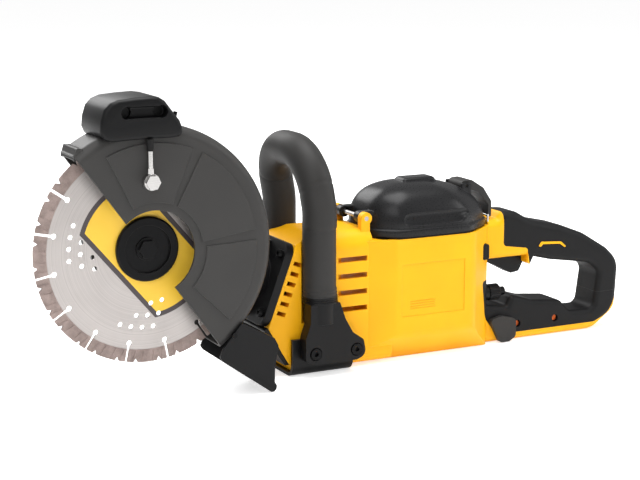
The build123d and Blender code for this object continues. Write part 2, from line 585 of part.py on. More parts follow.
# the two water bolts go through the near and far walls
NOZZLE_ANGLE, NOZZLE_AT = 94.0, GUARD_R - 54.5
NOZZLE_X, NOZZLE_Z = polar(NOZZLE_AT, NOZZLE_ANGLE)
NOZZLE_R = 5.0
guard_shell -= rod_y(NOZZLE_R + SEAT_GAP, GUARD_NEAR_Y - 5, GUARD_FAR_Y + 5, NOZZLE_X, NOZZLE_Z)
RIVET_ANGLES = [120, 210, 300, 30]
guard_collar = ring_y(COLLAR_BORE_R, COLLAR_R, NOSE_END_Y + 0.4, CASE_FRONT_Y - 0.4)
rim_near_y = GUARD_FAR_Y - GUARD_WALL - COLLAR_RIM_T
guard_collar += ring_y(COLLAR_R - 1, COLLAR_RIM_R, rim_near_y, GUARD_FAR_Y - GUARD_WALL)
guard_rivets = []
for angle in RIVET_ANGLES:
    x, z = polar((COLLAR_R + COLLAR_RIM_R) / 2, angle)
    hole = rod_y(RIVET_R + SEAT_GAP, rim_near_y - 1, GUARD_FAR_Y + 1, x, z)
    guard_collar -= hole
    guard_shell -= hole
    guard_rivets.append(rod_y(RIVET_R, rim_near_y, GUARD_FAR_Y, x, z)
                        + rod_y(RIVET_R + 1.6, rim_near_y - 1.2, rim_near_y, x, z)
                        + rod_y(RIVET_R + 1.6, GUARD_FAR_Y, GUARD_FAR_Y + 1.2, x, z))
pieces["guard_collar"] = guard_collar
pieces["guard_rivets"] = group(guard_rivets)

# handle on top of the guard
GUARD_HANDLE_NEAR_Y, GUARD_HANDLE_FAR_Y = GUARD_NEAR_Y - 8.0, GUARD_FAR_Y + 6.0
# outline along X from the spindle and up from the drum's rim
GUARD_HANDLE = [(-55, -4, 4), (-48, 20, 6), (-39, 25.5, 8), (-2, 28, 12), (12, 24, 6),
                (20, 12, 6), (28, 2, 4), (29, -13, 3), (18, -14, 3), (-12, -14, 6), (-44, -15, 3)]
HANDLE_RECESS = [(-33, 6, 4), (-33, 19, 4), (12, 19, 4), (12, 6, 4)]
RIM_TOP_Z = SPINDLE_Z + GUARD_R


def make_guard_handle():
    """Moulded handle that saddles the drum's rim, with a finger recess on each side."""
    outline = [(SPINDLE_X + a, RIM_TOP_Z + b, r) for a, b, r in GUARD_HANDLE]
    handle = prism(outline, GUARD_HANDLE_NEAR_Y, GUARD_HANDLE_FAR_Y)
    sides = handle.edges().filter_by(lambda e: e.center().Z > RIM_TOP_Z - 1)
    handle = chamfer(sides.filter_by(lambda e: abs(e.tangent_at(0.5).Y) < 0.1), 2.5)
    drum = rod_y(GUARD_R + SEAT_GAP, GUARD_NEAR_Y, GUARD_FAR_Y)
    drum = fillet(drum.edges().sort_by(Axis.Y)[0], GUARD_ROUND)
    drum = fillet(drum.edges().sort_by(Axis.Y)[-1], GUARD_ROUND / 2)
    handle -= drum
    recess = [(SPINDLE_X + a, RIM_TOP_Z + b, r) for a, b, r in HANDLE_RECESS]
    handle -= prism(recess, GUARD_HANDLE_NEAR_Y - 1, GUARD_HANDLE_NEAR_Y + 9)
    handle -= prism(recess, GUARD_HANDLE_FAR_Y - 9, GUARD_HANDLE_FAR_Y + 1)
    return handle


guard_handle = make_guard_handle()
handle_screws = []
for angle in (76, 108):
    start, end = polar(GUARD_R - 9, angle), polar(GUARD_R + 12, angle)
    y = (GUARD_NEAR_Y + GUARD_FAR_Y) / 2
    hole = rod(2.0 + SEAT_GAP, (start[0], y, start[1]), (end[0], y, end[1]))
    guard_shell -= hole
    guard_handle -= hole
    head_out = polar(GUARD_R - GUARD_WALL - 0.3, angle)
    head_in = polar(GUARD_R - GUARD_WALL - 2.2, angle)
    handle_screws.append(rod(2.0, (head_in[0], y, head_in[1]), (end[0], y, end[1]))
                         + rod(4.0, (head_in[0], y, head_in[1]), (head_out[0], y, head_out[1])))
pieces["guard_handle"] = guard_handle
pieces["guard_shell"] = guard_shell

# skirt at the guard's lower end, and the screws that hold it
SKIRT_T = 3.0
# it hangs on this point of the rim, and its outline is given from there
SKIRT_X, SKIRT_Z = SPINDLE_X + 0.6 * GUARD_R, SPINDLE_Z - 0.8 * GUARD_R
SKIRT = [(-5.6, -3.2, 2), (-9.6, -12.2, 3), (-6.6, -16.7, 2), (46.4, -55.2, 3), (57.4, -55.2, 5),
         (50.4, -45.2, 4), (50.9, -29.2, 12), (54.9, -7.2, 4), (50.4, 1.3, 3), (24.9, 15.3, 0),
         (14.9, 21.3, 3)]
SKIRT_MOUTH = [(-15.6, 10.8), (-15.6, -21.2), (43.4, -59.2), (54.4, -51.2), (46.9, -43.2), (47.9, -29.2),
               (51.4, -8.2), (48.4, -1.7), (23.4, 12.8), (9.4, 20.8)]
SKIRT_SCREW, SKIRT_SCREW_R = (6.4, 8.8), 1.5
SKIRT_NEAR_Y, SKIRT_FAR_Y = GUARD_NEAR_Y - SKIRT_T, GUARD_FAR_Y + SKIRT_T - 0.8
skirt = prism([(SKIRT_X + a, SKIRT_Z + b, r) for a, b, r in SKIRT], SKIRT_NEAR_Y, SKIRT_FAR_Y)
skirt -= rod_y(GUARD_R + SEAT_GAP, GUARD_NEAR_Y, GUARD_FAR_Y)
skirt -= prism([(SKIRT_X + a, SKIRT_Z + b) for a, b in SKIRT_MOUTH], GUARD_NEAR_Y, GUARD_FAR_Y)
skirt_screws = []
x, z = SKIRT_X + SKIRT_SCREW[0], SKIRT_Z + SKIRT_SCREW[1]
for face_y, out in ((GUARD_NEAR_Y, -1), (GUARD_FAR_Y, 1)):
    plate = SKIRT_NEAR_Y if out < 0 else SKIRT_FAR_Y
    inner = face_y - out * (GUARD_WALL + 1)
    hole = rod_y(SKIRT_SCREW_R + SEAT_GAP, min(inner, plate) - 1, max(inner, plate) + 1, x, z)
    skirt -= hole
    pieces["guard_shell"] -= hole
    skirt_screws.append(rod_y(SKIRT_SCREW_R, min(inner, plate), max(inner, plate), x, z)
                        + rod_y(3.0, min(plate, plate + out), max(plate, plate + out), x, z))
pieces["guard_skirt"] = skirt
pieces["guard_screws"] = group(handle_screws + skirt_screws)

# water nozzles: a hollow bolt through each wall, a short metal pipe and a nipple above it
PIPE_R = 2.6
BANJO_R, BANJO_T = 8.0, 8.0
PIPE_TOP_Z = RIM_TOP_Z - 25.0
NIPPLE_TOP_Z = RIM_TOP_Z - 13.5
bolts, pipes, nipples = [], [], []
for wall_y, out in ((GUARD_NEAR_Y, -1), (GUARD_FAR_Y, 1)):
    seat = wall_y + out * (PANEL_RISE if out < 0 else 0.0)
    banjo_end, head_end = seat + out * BANJO_T, seat + out * (BANJO_T + 4.5)
    tip = wall_y - out * 7.0
    low, high = sorted((tip, banjo_end))
    head_low, head_high = sorted((banjo_end, head_end))
    bolts.append(rod_y(NOZZLE_R, low, high, NOZZLE_X, NOZZLE_Z)
                 + hexagon(13.0, head_low, head_high, NOZZLE_X, NOZZLE_Z))
    ring_low, ring_high = sorted((seat, banjo_end))
    pipe_y = seat + out * BANJO_T / 2
    pipe = rod_y(BANJO_R, ring_low, ring_high, NOZZLE_X, NOZZLE_Z)
    pipe += rod(PIPE_R, (NOZZLE_X, pipe_y, NOZZLE_Z + 4), (NOZZLE_X, pipe_y, PIPE_TOP_Z + 3))
    pipe += rod(PIPE_R + 0.9, (NOZZLE_X, pipe_y, NOZZLE_Z + 6), (NOZZLE_X, pipe_y, NOZZLE_Z + 13))
    pipe -= rod_y(NOZZLE_R + SEAT_GAP, ring_low - 1, ring_high + 1, NOZZLE_X, NOZZLE_Z)
    pipes.append(pipe)
    nipple = Pos(NOZZLE_X, pipe_y, (PIPE_TOP_Z + NIPPLE_TOP_Z) / 2) * Cone(
        PIPE_R + 0.5, PIPE_R + 1.2, NIPPLE_TOP_Z - PIPE_TOP_Z)
    nipple -= rod(PIPE_R + SEAT_GAP, (NOZZLE_X, pipe_y, PIPE_TOP_Z - 1),
                  (NOZZLE_X, pipe_y, PIPE_TOP_Z + 3.2))
    nipples.append(nipple - pieces["guard_handle"])
pieces["nozzle_bolts"] = group(bolts)
pieces["water_pipes"] = group(pipes)
pieces["pipe_nipples"] = group([n.solids().sort_by(SortBy.VOLUME)[-1] for n in nipples])

# ---------------------------------------------------------------- body of the saw
BODY_FRONT_AT = CASE_FLANGE_AT + CASE_FLANGE_T
front_top = motor_point(0, CASE_FLANGE_H / 2, BODY_FRONT_AT)
front_bottom = motor_point(0, -CASE_FLANGE_H / 2, BODY_FRONT_AT)
NOSE_PROFILE = [(front_top[0], front_top[2]), (-4, DECK_Z, 14), (BOX_FRONT_X, DECK_Z, 3),
                (BOX_FRONT_X, SEAT_Z), (BOX_FRONT_X + 24, SEAT_Z), (BOX_FRONT_X + 24, BRACKET_T),
                (-30, BRACKET_T), (-44, 26), (front_bottom[0], front_bottom[2])]
NOSE_SECTION = [(-NOSE_HALF, DECK_Z + 1, 20), (NOSE_HALF, DECK_Z + 1, 20),
                (NOSE_HALF, BRACKET_T, 10), (-NOSE_HALF, BRACKET_T, 10)]
BOX_PLAN_HALF = [(46, 5 - NOSE_HALF, 8), (60, -NOSE_HALF - 0.5, 12), (88, -BOX_HALF, 16),
                 (187, -BOX_HALF, 16), (214, -30, 14), (BOX_REAR_X + 4, -TAIL_HALF, 3)]
BOX_PLAN = BOX_PLAN_HALF + [(x, -y, r) for x, y, r in reversed(BOX_PLAN_HALF)]
BOX_FOOT = TAIL_HALF + 4.0             # half width of the box at its bottom
BOX_SLOPE_Z = 31.0                     # where the flanks start to slope in
BOX_SECTION = [(-BOX_HALF, SEAT_Z), (-BOX_HALF, BOX_SLOPE_Z, 14), (-BOX_FOOT, 0, 6),
               (BOX_FOOT, 0, 6), (BOX_HALF, BOX_SLOPE_Z, 14), (BOX_HALF, SEAT_Z)]
TAIL_OUTLINE = [(190, 0), (373, 0, 26), (405, 22, 20), (408, 80, 26), (391, 96, 20), (357, 116.5, 40),
                (323, 129.5, 50), (282, 138.5, 60), (262, 150, 20), (243, 151.5, 6), (237, 143, 4),
                (223.5, 143), (223.5, SEAT_Z), (190, SEAT_Z)]
WINDOW_OUTLINE = [(221, 98, 4), (221, 45, 10), (250, 41, 4), (257, 53.5, 6), (286, 44.5, 12),
                  (325, 40.5, 12), (339, 26, 10), (372, 25, 9), (378, 70, 12), (364, 81, 20),
                  (310, 89.5, 20), (284, 96), (279.5, 87.5), (277, 90), (277, 98)]
GRIP_REGION = [(243.5, 170), (243.5, 112, 5), (276, 107, 4), (281, 80), (300, 60), (365, 45),
               (425, 45), (425, 170)]
RAIL_REGION = [(208, 76, 3), (240, 76), (340, 60), (365, 45), (425, 45), (410, 45), (401, 34, 30),
               (392, 17, 20), (372, 9.5, 10), (236, 9.5, 4), (216, 36, 12)]


def tail_prism(corners, half):
    """Outline of the rear handle carried to both sides of the centre plane."""
    return prism(corners, -half, half)


def make_tail():
    """Rear handle as one rounded form, before it is shared out between its pieces."""
    tail = tail_prism(TAIL_OUTLINE, TAIL_HALF) - tail_prism(WINDOW_OUTLINE, TAIL_HALF + 1)

    def on_side(edge):
        return abs(abs(edge.center().Y) - TAIL_HALF) < 1e-3

    def outer(edge):
        x, z = edge.center().X, edge.center().Z
        return on_side(edge) and x > 242 and (z > 98.5 or x > 383)

    def window(edge):
        x, z = edge.center().X, edge.center().Z
        tongue = 276.5 < x < 283 and z > 85
        return on_side(edge) and 220.5 < x < 379 and 24.5 < z < 98.5 and not tongue

    tail = fillet(tail.edges().filter_by(outer), 9)
    return fillet(tail.edges().filter_by(window), 6)


def leg_path(foot_z):
    """Centre line of the front handle, from one foot over the arch to the other."""
    return FilletPolyline(
        (LEG_X, -LEG_Y, foot_z), (LEG_X, -LEG_Y, 178), (ARCH_X, -LEG_Y, ARCH_Z),
        (ARCH_X, LEG_Y, ARCH_Z), (LEG_X, LEG_Y, 178), (LEG_X, LEG_Y, foot_z), radius=(60, 41, 41, 60))


def arch(radius, foot_z):
    """Round bar along the front handle's centre line."""
    path = leg_path(foot_z)
    return sweep(Plane(origin=path @ 0, z_dir=path % 0) * Circle(radius), path=path)


tail = make_tail()
nose = prism(NOSE_PROFILE, -NOSE_HALF, NOSE_HALF) & prism(NOSE_SECTION, -90, 120, along="x")
box = prism(BOX_PLAN, 0, SEAT_Z, along="z") & prism(BOX_SECTION, 30, 230, along="x")
grip_zone = tail_prism(GRIP_REGION, TAIL_HALF + 1)
rail_zone = tail_prism(RAIL_REGION, BOX_HALF)
core_outline = outline_face(TAIL_OUTLINE, lambda a, b: (a, 0, b))
core_window = outline_face(WINDOW_OUTLINE, lambda a, b: (a, 0, b))
core_face = offset(core_outline, amount=-COVER_T) - offset(core_window, amount=COVER_T)
tail_core = extrude(core_face, amount=CORE_HALF, both=True)
yellow_tail = (tail - grip_zone - rail_zone) + (tail_core & (grip_zone + rail_zone))
housing = nose + (box - rail_zone) + (yellow_tail - block(150, BOX_REAR_X - 20, -60, 60, -1, 200))
for x in FOOT_BOLT_X:
    for side in (-1, 1):
        boss = rod_y(8, side * (NOSE_HALF - 6), side * (BRACKET_HALF - BRACKET_T), x, FOOT_BOLT_Z)
        housing += boss
for side in (-1, 1):
    knuckle = rod_y(KNUCKLE_R, side * 27, side * 35, HINGE_X, HINGE_Z)
    post = block(HINGE_X - KNUCKLE_R, HINGE_X + 4, *sorted((side * 27, side * 35)), DECK_Z - 4, HINGE_Z)
    housing += knuckle + post

# hollows of the body
BAY_X0, BAY_X1, BAY_FLOOR = 72.0, 204.0, 30.0
BAY_WALL = 8.0                         # flank of the box beside the bay
BAY_HALF = BOX_HALF - BAY_WALL


def bay_form(inset, z0, z1):
    """Space for the battery, with its rear corners cut off like the box's, moved inwards."""
    half, x0, x1 = BAY_HALF - inset, BAY_X0 + inset, BAY_X1 - inset
    plan = [(x0, -half, 9 - inset), (x1 - 22, -half, 9 - inset), (x1, -half + 18, 9 - inset),
            (x1, half - 18, 9 - inset), (x1 - 22, half, 9 - inset), (x0, half, 9 - inset)]
    return prism(plan, z0, z1, along="z")


housing -= on_shaft(STATOR_R + 0.3, BODY_FRONT_AT - 1, STATOR_END + 6)
housing -= on_shaft(MOTOR_BEARING_R + SEAT_GAP, STATOR_END + 5, REAR_SHAFT_END)
channel = arch(GRIP_R + LEG_CHANNEL_GAP, 56)
housing -= channel
bay = bay_form(0, BAY_FLOOR, SEAT_Z + 1)
housing -= bay
# shallow panel on each flank of the box, with a few fine grooves near its lower front corner
PANEL_X, PANEL_Z, PANEL_DEPTH = (95.0, 174.0), (52.0, 110.0), 0.9
GROOVE_X, GROOVE_Z, GROOVE_PITCH, GROOVE_W = (106.0, 137.0), 60.0, 2.7, 0.8
for side in (-1, 1):
    y0, y1 = sorted((side * (BOX_HALF - PANEL_DEPTH), side * (BOX_HALF + 1)))
    housing -= block(*PANEL_X, y0, y1, *PANEL_Z)
    y0, y1 = sorted((side * (BOX_HALF - PANEL_DEPTH - 0.5), side * (BOX_HALF + 1)))
    for i in range(4):
        z = GROOVE_Z + GROOVE_PITCH * i
        housing -= block(*GROOVE_X, y0, y1, z, z + GROOVE_W)
housing -= block(-14, 60, -32, 32, 10, 36)                  # room for the control module
housing -= block(30, 60, -39, 39, 56, 128)                  # air outlet behind the motor
LOUVRE_Z = [120 - 18 * i for i in range(4)]
LOUVRE_H = 5.6
for z in LOUVRE_Z:
    for side in (-1, 1):
        y0, y1 = sorted((side * (NOSE_HALF + 8), side * 34))
        housing -= block(22, 57, y0, y1, z - LOUVRE_H / 2, z + LOUVRE_H / 2)
GRILLE_UP = [-27.5 + 11 * i for i in range(6)]
for up in GRILLE_UP:
    slot = MOTOR * Pos(0, up, BODY_FRONT_AT + 9) * Box(2 * NOSE_HALF + 2, 4.4, 10)
    housing -= slot - (MOTOR * Pos(0, up, BODY_FRONT_AT + 9) * Box(40, 6, 12))
SWITCH_X0, SWITCH_X1, SWITCH_Z0, SWITCH_Z1 = 240.0, 274.0, 114.0, 132.0
housing -= block(SWITCH_X0 - 0.2, SWITCH_X1 + 0.2, -10, 10, SWITCH_Z0, SWITCH_Z1 + 0.2)
POCKET_TOP_Z = 113.0
TRIGGER_SLOT_HALF = TRIGGER_HALF + TRIGGER_GAP
trigger_slot = block(219.5, 286, -TRIGGER_SLOT_HALF, TRIGGER_SLOT_HALF, 82, POCKET_TOP_Z)
housing -= trigger_slot
housing -= rod_y(2.0 + SEAT_GAP, -13, 13, TRIGGER_PIVOT_X, TRIGGER_PIVOT_Z)
LOCKOFF_X, LOCKOFF_Z = 213.0, 110.0
LOCKOFF_TRAVEL = 3.0


def lockoff_block(grow, y0, y1):
    """Outline of the lock-off button, grown by a clearance."""
    x, z = LOCKOFF_X, LOCKOFF_Z
    return prism([(x - 4.5 - grow, z - 9 - grow, 3), (x + 4.5 + grow, z - 9 - grow, 3),
                  (x + 4.5 + grow, z + 9 + grow, 3), (x - 4.5 - grow, z + 9 + grow, 3)], y0, y1)


housing -= lockoff_block(0.35, -45, -15)
housing -= rod_y(HINGE_PIN_R + SEAT_GAP, -36, 36, HINGE_X, HINGE_Z)
for x, y in CASE_SCREW_PLACES:
    housing -= MOTOR * Pos(x, y, BODY_FRONT_AT + 2) * Cylinder(2.5 + SEAT_GAP, 12)
for x in FOOT_BOLT_X:
    for side in (-1, 1):
        housing -= rod_y(3.5 + SEAT_GAP, side * 30, side * (BRACKET_HALF + 10), x, FOOT_BOLT_Z)

# screws that pull the two halves together, driven from the right
SHELL_SCREWS = ((-20, 128, 26), (48, 140, NOSE_HALF - 3), (66, 16, 30), (150, 14, 30),
                (199, 14, 24), (214, 128, 26), (342, 18, CORE_HALF), (393, 58, CORE_HALF))
shell_screws = []
for x, z, reach in SHELL_SCREWS:
    seat = reach - 8
    housing -= rod_y(2.0 + SEAT_GAP, -9, seat + 1, x, z) + rod_y(3.9, seat, reach + 30, x, z)
    shell_screws.append(rod_y(2.0, -8, seat, x, z) + rod_y(3.6, seat, seat + 3, x, z))
left_room = block(-300, 500, -100, 0, -50, 300)
pieces["housing_left"] = housing & left_room
pieces["housing_right"] = housing - left_room
pieces["housing_screws"] = group(shell_screws)

# covers of the rear handle
RAIL_SCREW_PLACES = ((265, 19), (317, 20))
grip_cover = (tail & grip_zone) - tail_core
rail_cover = ((tail + box) & rail_zone) - tail_core - grip_cover - bay
grip_cover -= block(SWITCH_X0, SWITCH_X1, -CORE_HALF, CORE_HALF, SWITCH_Z0, SWITCH_Z1) + trigger_slot
side_screws = []
for x, z in RAIL_SCREW_PLACES:
    for side in (-1, 1):
        y_seat, y_out = side * CORE_HALF, side * (TAIL_HALF + 1)
        rail_cover -= rod_y(4.2, *sorted((side * (CORE_HALF + 3), y_out)), x, z)
        rail_cover -= rod_y(1.7 + SEAT_GAP, *sorted((y_seat - side, y_out)), x, z)
        head = rod_y(3.4, *sorted((side * (CORE_HALF + 3), side * (CORE_HALF + 5))), x, z)
        side_screws.append(head + rod_y(1.7, *sorted((y_seat, side * (CORE_HALF + 4))), x, z))
STRIP = [(291, 107, 0.8), (294.5, 112.5, 2.5), (322, 110.5, 2.5), (330, 103.5, 0.8), (327, 103.5, 0.4),
         (320.5, 108, 2), (297, 109.5, 2), (294.5, 107, 0.4)]
strips = []
for side in (-1, 1):
    y0, y1 = sorted((side * (TAIL_HALF - 1.5), side * (TAIL_HALF + 0.6)))
    strip = prism(STRIP, y0, y1)
    grip_cover -= strip
    strips.append(strip)
pieces["rear_grip_cover"] = group([s for s in grip_cover.solids() if s.volume > 100])
pieces["rail_cover"] = group([s for s in rail_cover.solids() if s.volume > 100])
pieces["grip_strips"] = group(strips)
pieces["rail_cover_screws"] = group(side_screws)
FOOT_PAD = [(224, 28, 4), (240, 32, 4), (259, 27, 6), (259, 6, 6), (250, 1, 3), (238, 1, 5)]
FOOT_PAD_T = 6.0
pieces["rail_feet"] = group([prism(FOOT_PAD, *sorted((side * TAIL_HALF, side * (TAIL_HALF + FOOT_PAD_T))))
                             for side in (-1, 1)])

# trigger, its pin and spring, and the switch
TRIGGER = [(223.5, 103, 2), (223, 95.5, 2), (241, 87.5, 14), (263, 76, 4), (274, 77.5, 4), (281, 91, 3),
           (276, 103, 2)]
trigger = prism(TRIGGER, -TRIGGER_HALF, TRIGGER_HALF)
trigger -= rod_y(2.0 + RUN_GAP, -10, 10, TRIGGER_PIVOT_X, TRIGGER_PIVOT_Z)
pieces["trigger"] = trigger
trigger_pin = rod_y(2.0, -12, 12, TRIGGER_PIVOT_X, TRIGGER_PIVOT_Z)
trigger_coil = Helix(pitch=2.6, height=8.0, radius=3.0)
coil_start = Plane(origin=trigger_coil @ 0, z_dir=trigger_coil % 0)
pieces["trigger_spring"] = Pos(258, 0, 104) * sweep(
    coil_start * Circle(0.4), path=trigger_coil, is_frenet=True)
switch = block(SWITCH_X0, SWITCH_X1, -9.8, 9.8, SWITCH_Z0, SWITCH_Z1)
pieces["power_switch"] = switch
lockoff = fillet(lockoff_block(0, -34, -19).edges().group_by(Axis.Y)[0], 1.5)
pieces["lockoff_button"] = lockoff

# water inlet behind the body, above the rail
WATER_Y, WATER_Z = -8.0, 56.5
SPIGOT_R, SPIGOT_LENGTH = 5.0, 7.0     # plain end that a hose coupling slides onto
valve_body = rod(9, (214, WATER_Y, WATER_Z), (230, WATER_Y, WATER_Z))
valve_body += rod(5.5, (229, WATER_Y, WATER_Z), (246, WATER_Y, WATER_Z))
valve_body += rod(SPIGOT_R, (245, WATER_Y, WATER_Z), (246 + SPIGOT_LENGTH, WATER_Y, WATER_Z))
valve_body -= rod(3.2, (236, WATER_Y, WATER_Z), (260, WATER_Y, WATER_Z))
knob = rod(9.5, (231, WATER_Y, WATER_Z), (245, WATER_Y, WATER_Z))
knob = chamfer(knob.edges().filter_by(GeomType.CIRCLE), 0.8)
for i in range(16):
    groove = Rot(360 * i / 16, 0, 0) * Pos(0, 9.8, 0) * Cylinder(0.9, 16, rotation=(0, 90, 0))
    knob -= Pos(238, WATER_Y, WATER_Z) * groove
knob -= rod(5.5 + RUN_GAP, (230, WATER_Y, WATER_Z), (246, WATER_Y, WATER_Z))
pieces["water_valve_knob"] = knob
socket = rod(9 + SEAT_GAP, (213.5, WATER_Y, WATER_Z), (231, WATER_Y, WATER_Z))
for name in ("housing_left", "housing_right", "rail_cover"):
    pieces[name] = group([s for s in (Part() + pieces[name].solids() - socket).solids()])
pieces["water_inlet"] = valve_body

# control module and its board
pieces["control_module"] = block(-12, 58, -30, 30, 11, 30)

# ---------------------------------------------------------------- battery, bay and lid
LINER_T = 2.5
PACK_GAP = 1.5                         # round the battery inside its liner
liner = bay_form(0.1, BAY_FLOOR, SEAT_Z - 2)
liner -= bay_form(LINER_T, BAY_FLOOR + LINER_T, SEAT_Z)
pieces["battery_bay"] = liner
pack = bay_form(LINER_T + PACK_GAP, BAY_FLOOR + LINER_T + 5, SEAT_Z - 4)
pack += fillet(block(90, 190, -32, 32, SEAT_Z - 5, 150).edges().filter_by(Axis.Z), 8)
pack -= [block(x, x + 4, -20, 20, 147, 151) for x in range(110, 176, 12)]
pieces["battery_pack"] = pack
floor = BAY_FLOOR + LINER_T
pieces["battery_terminals"] = group([block(118, 160, y - 2, y + 2, floor, floor + 5)
                                     for y in (-24, -8, 8, 24)])

LID_PLAN_HALF = [(BOX_FRONT_X + 1, -28, 6), (92, -BOX_HALF - 1, 12), (180, -BOX_HALF - 1, 12),
                 (BOX_REAR_X + 4, -20, 10)]
LID_PLAN = LID_PLAN_HALF + [(x, -y, r) for x, y, r in reversed(LID_PLAN_HALF)]
LID_SIDE = [(BOX_FRONT_X, 130), (BOX_FRONT_X + 2, 158, 8), (88, LID_TOP_Z - 6, 26),
            (134, LID_TOP_Z, 60), (190, 180, 40), (217, 165, 12), (BOX_REAR_X + 5, 130)]
LID_SECTION_HALF = [(-BOX_HALF - 1.5, 130), (-BOX_HALF, 158, 8), (-38, 184, 22), (-14, LID_TOP_Z, 24)]
LID_SECTION = LID_SECTION_HALF + [(-y, z, r) for y, z, r in
                                  [(*c, 0.0)[:3] for c in reversed(LID_SECTION_HALF)]]
GASKET_T = 1.6
RIM_Z0 = SEAT_Z + GASKET_T + 0.3
RIM_Z1 = RIM_Z0 + 8.0


def lid_form(inset, z0, z1):
    """The lid's dome, or the same form moved inwards, between two heights."""
    plan = offset(outline_face(LID_PLAN, lambda a, b: (a, b, z0)), amount=-inset)
    side = offset(outline_face(LID_SIDE, lambda a, b: (a, -60, b)), amount=-inset)
    front = offset(outline_face(LID_SECTION, lambda a, b: (40, a, b)), amount=-inset)
    form = extrude(plan, amount=z1 - z0, dir=(0, 0, 1))
    form &= extrude(side, amount=120, dir=(0, 1, 0))
    return form & extrude(front, amount=200, dir=(1, 0, 0))


lid = lid_form(2.0, RIM_Z1, LID_TOP_Z + 5) - lid_form(2.0 + LID_WALL, RIM_Z1 - 1, LID_TOP_Z + 5)
for side in (-1, 1):
    y0, y1 = sorted((side * 16, side * 26.5))
    arm = prism([(HINGE_X, HINGE_Z - KNUCKLE_R), (72, 158), (76, 172),
                 (HINGE_X, HINGE_Z + KNUCKLE_R)], y0, y1)
    lid += rod_y(KNUCKLE_R, y0, y1, HINGE_X, HINGE_Z) + (arm - lid_form(4.0, RIM_Z1, LID_TOP_Z))
    y0, y1 = sorted((side * 14.6, side * 18))
    lug = prism([(188, 174), (190, LATCH_Z + 3, 3), (201, LATCH_Z + 3, 3), (206, 168)], y0, y1)
    lid += lug - lid_form(4.0, RIM_Z1, LID_TOP_Z)
ridge = prism([(112, 190), (118, 197.5, 3), (148, 196.5, 3), (166, 186)], -13, 13)
lid += ridge - lid_form(4.0, RIM_Z1, LID_TOP_Z)
lid -= rod_y(HINGE_PIN_R + RUN_GAP, -30, 30, HINGE_X, HINGE_Z)
lid -= rod_y(2.0 + SEAT_GAP, -20, 20, LATCH_X, LATCH_Z)
rim_plan = outline_face(LID_PLAN, lambda a, b: (a, b, RIM_Z0))
lid_rim = extrude(rim_plan - offset(rim_plan, amount=-6), amount=RIM_Z1 - RIM_Z0, dir=(0, 0, 1))
pieces["battery_lid"] = lid + lid_rim
gasket_plan = outline_face(LID_PLAN, lambda a, b: (a, b, SEAT_Z))
gasket = offset(gasket_plan, amount=-2) - offset(gasket_plan, amount=-5)
pieces["lid_gasket"] = extrude(gasket, amount=GASKET_T, dir=(0, 0, 1))
pieces["hinge_pins"] = group([rod_y(HINGE_PIN_R, -35, 35, HINGE_X, HINGE_Z), trigger_pin])
LATCH = [(192, 189.5, 3), (204, 190, 6), (220, 180, 8), (231, 164, 8), (231, 146, 2),
         (227, 146, 1), (227, 160, 6), (214, 175, 6), (200, 180, 3), (194, 180, 2)]
latch = prism(LATCH, -14, 14) + rod_y(5.5, -14, 14, LATCH_X, LATCH_Z)
latch -= rod_y(2.0 + RUN_GAP, -15, 15, LATCH_X, LATCH_Z)
pieces["lid_latch"] = latch
pieces["latch_pin"] = rod_y(2.0, -18, 18, LATCH_X, LATCH_Z)
catch_x, catch_z = 224.6, 148.5
catch = rod_y(1.2, -18, 18, catch_x, catch_z)
for side in (-1, 1):
    leg = rod(1.2, (catch_x, side * 17, 132), (catch_x, side * 17, catch_z))
    catch += leg
    hole = rod(1.2 + SEAT_GAP, (catch_x, side * 17, 131.9), (catch_x, side * 17, 160))
    name = "housing_left" if side < 0 else "housing_right"
    pieces[name] = group((Part() + pieces[name].solids() - hole).solids())
pieces["latch_catch"] = catch

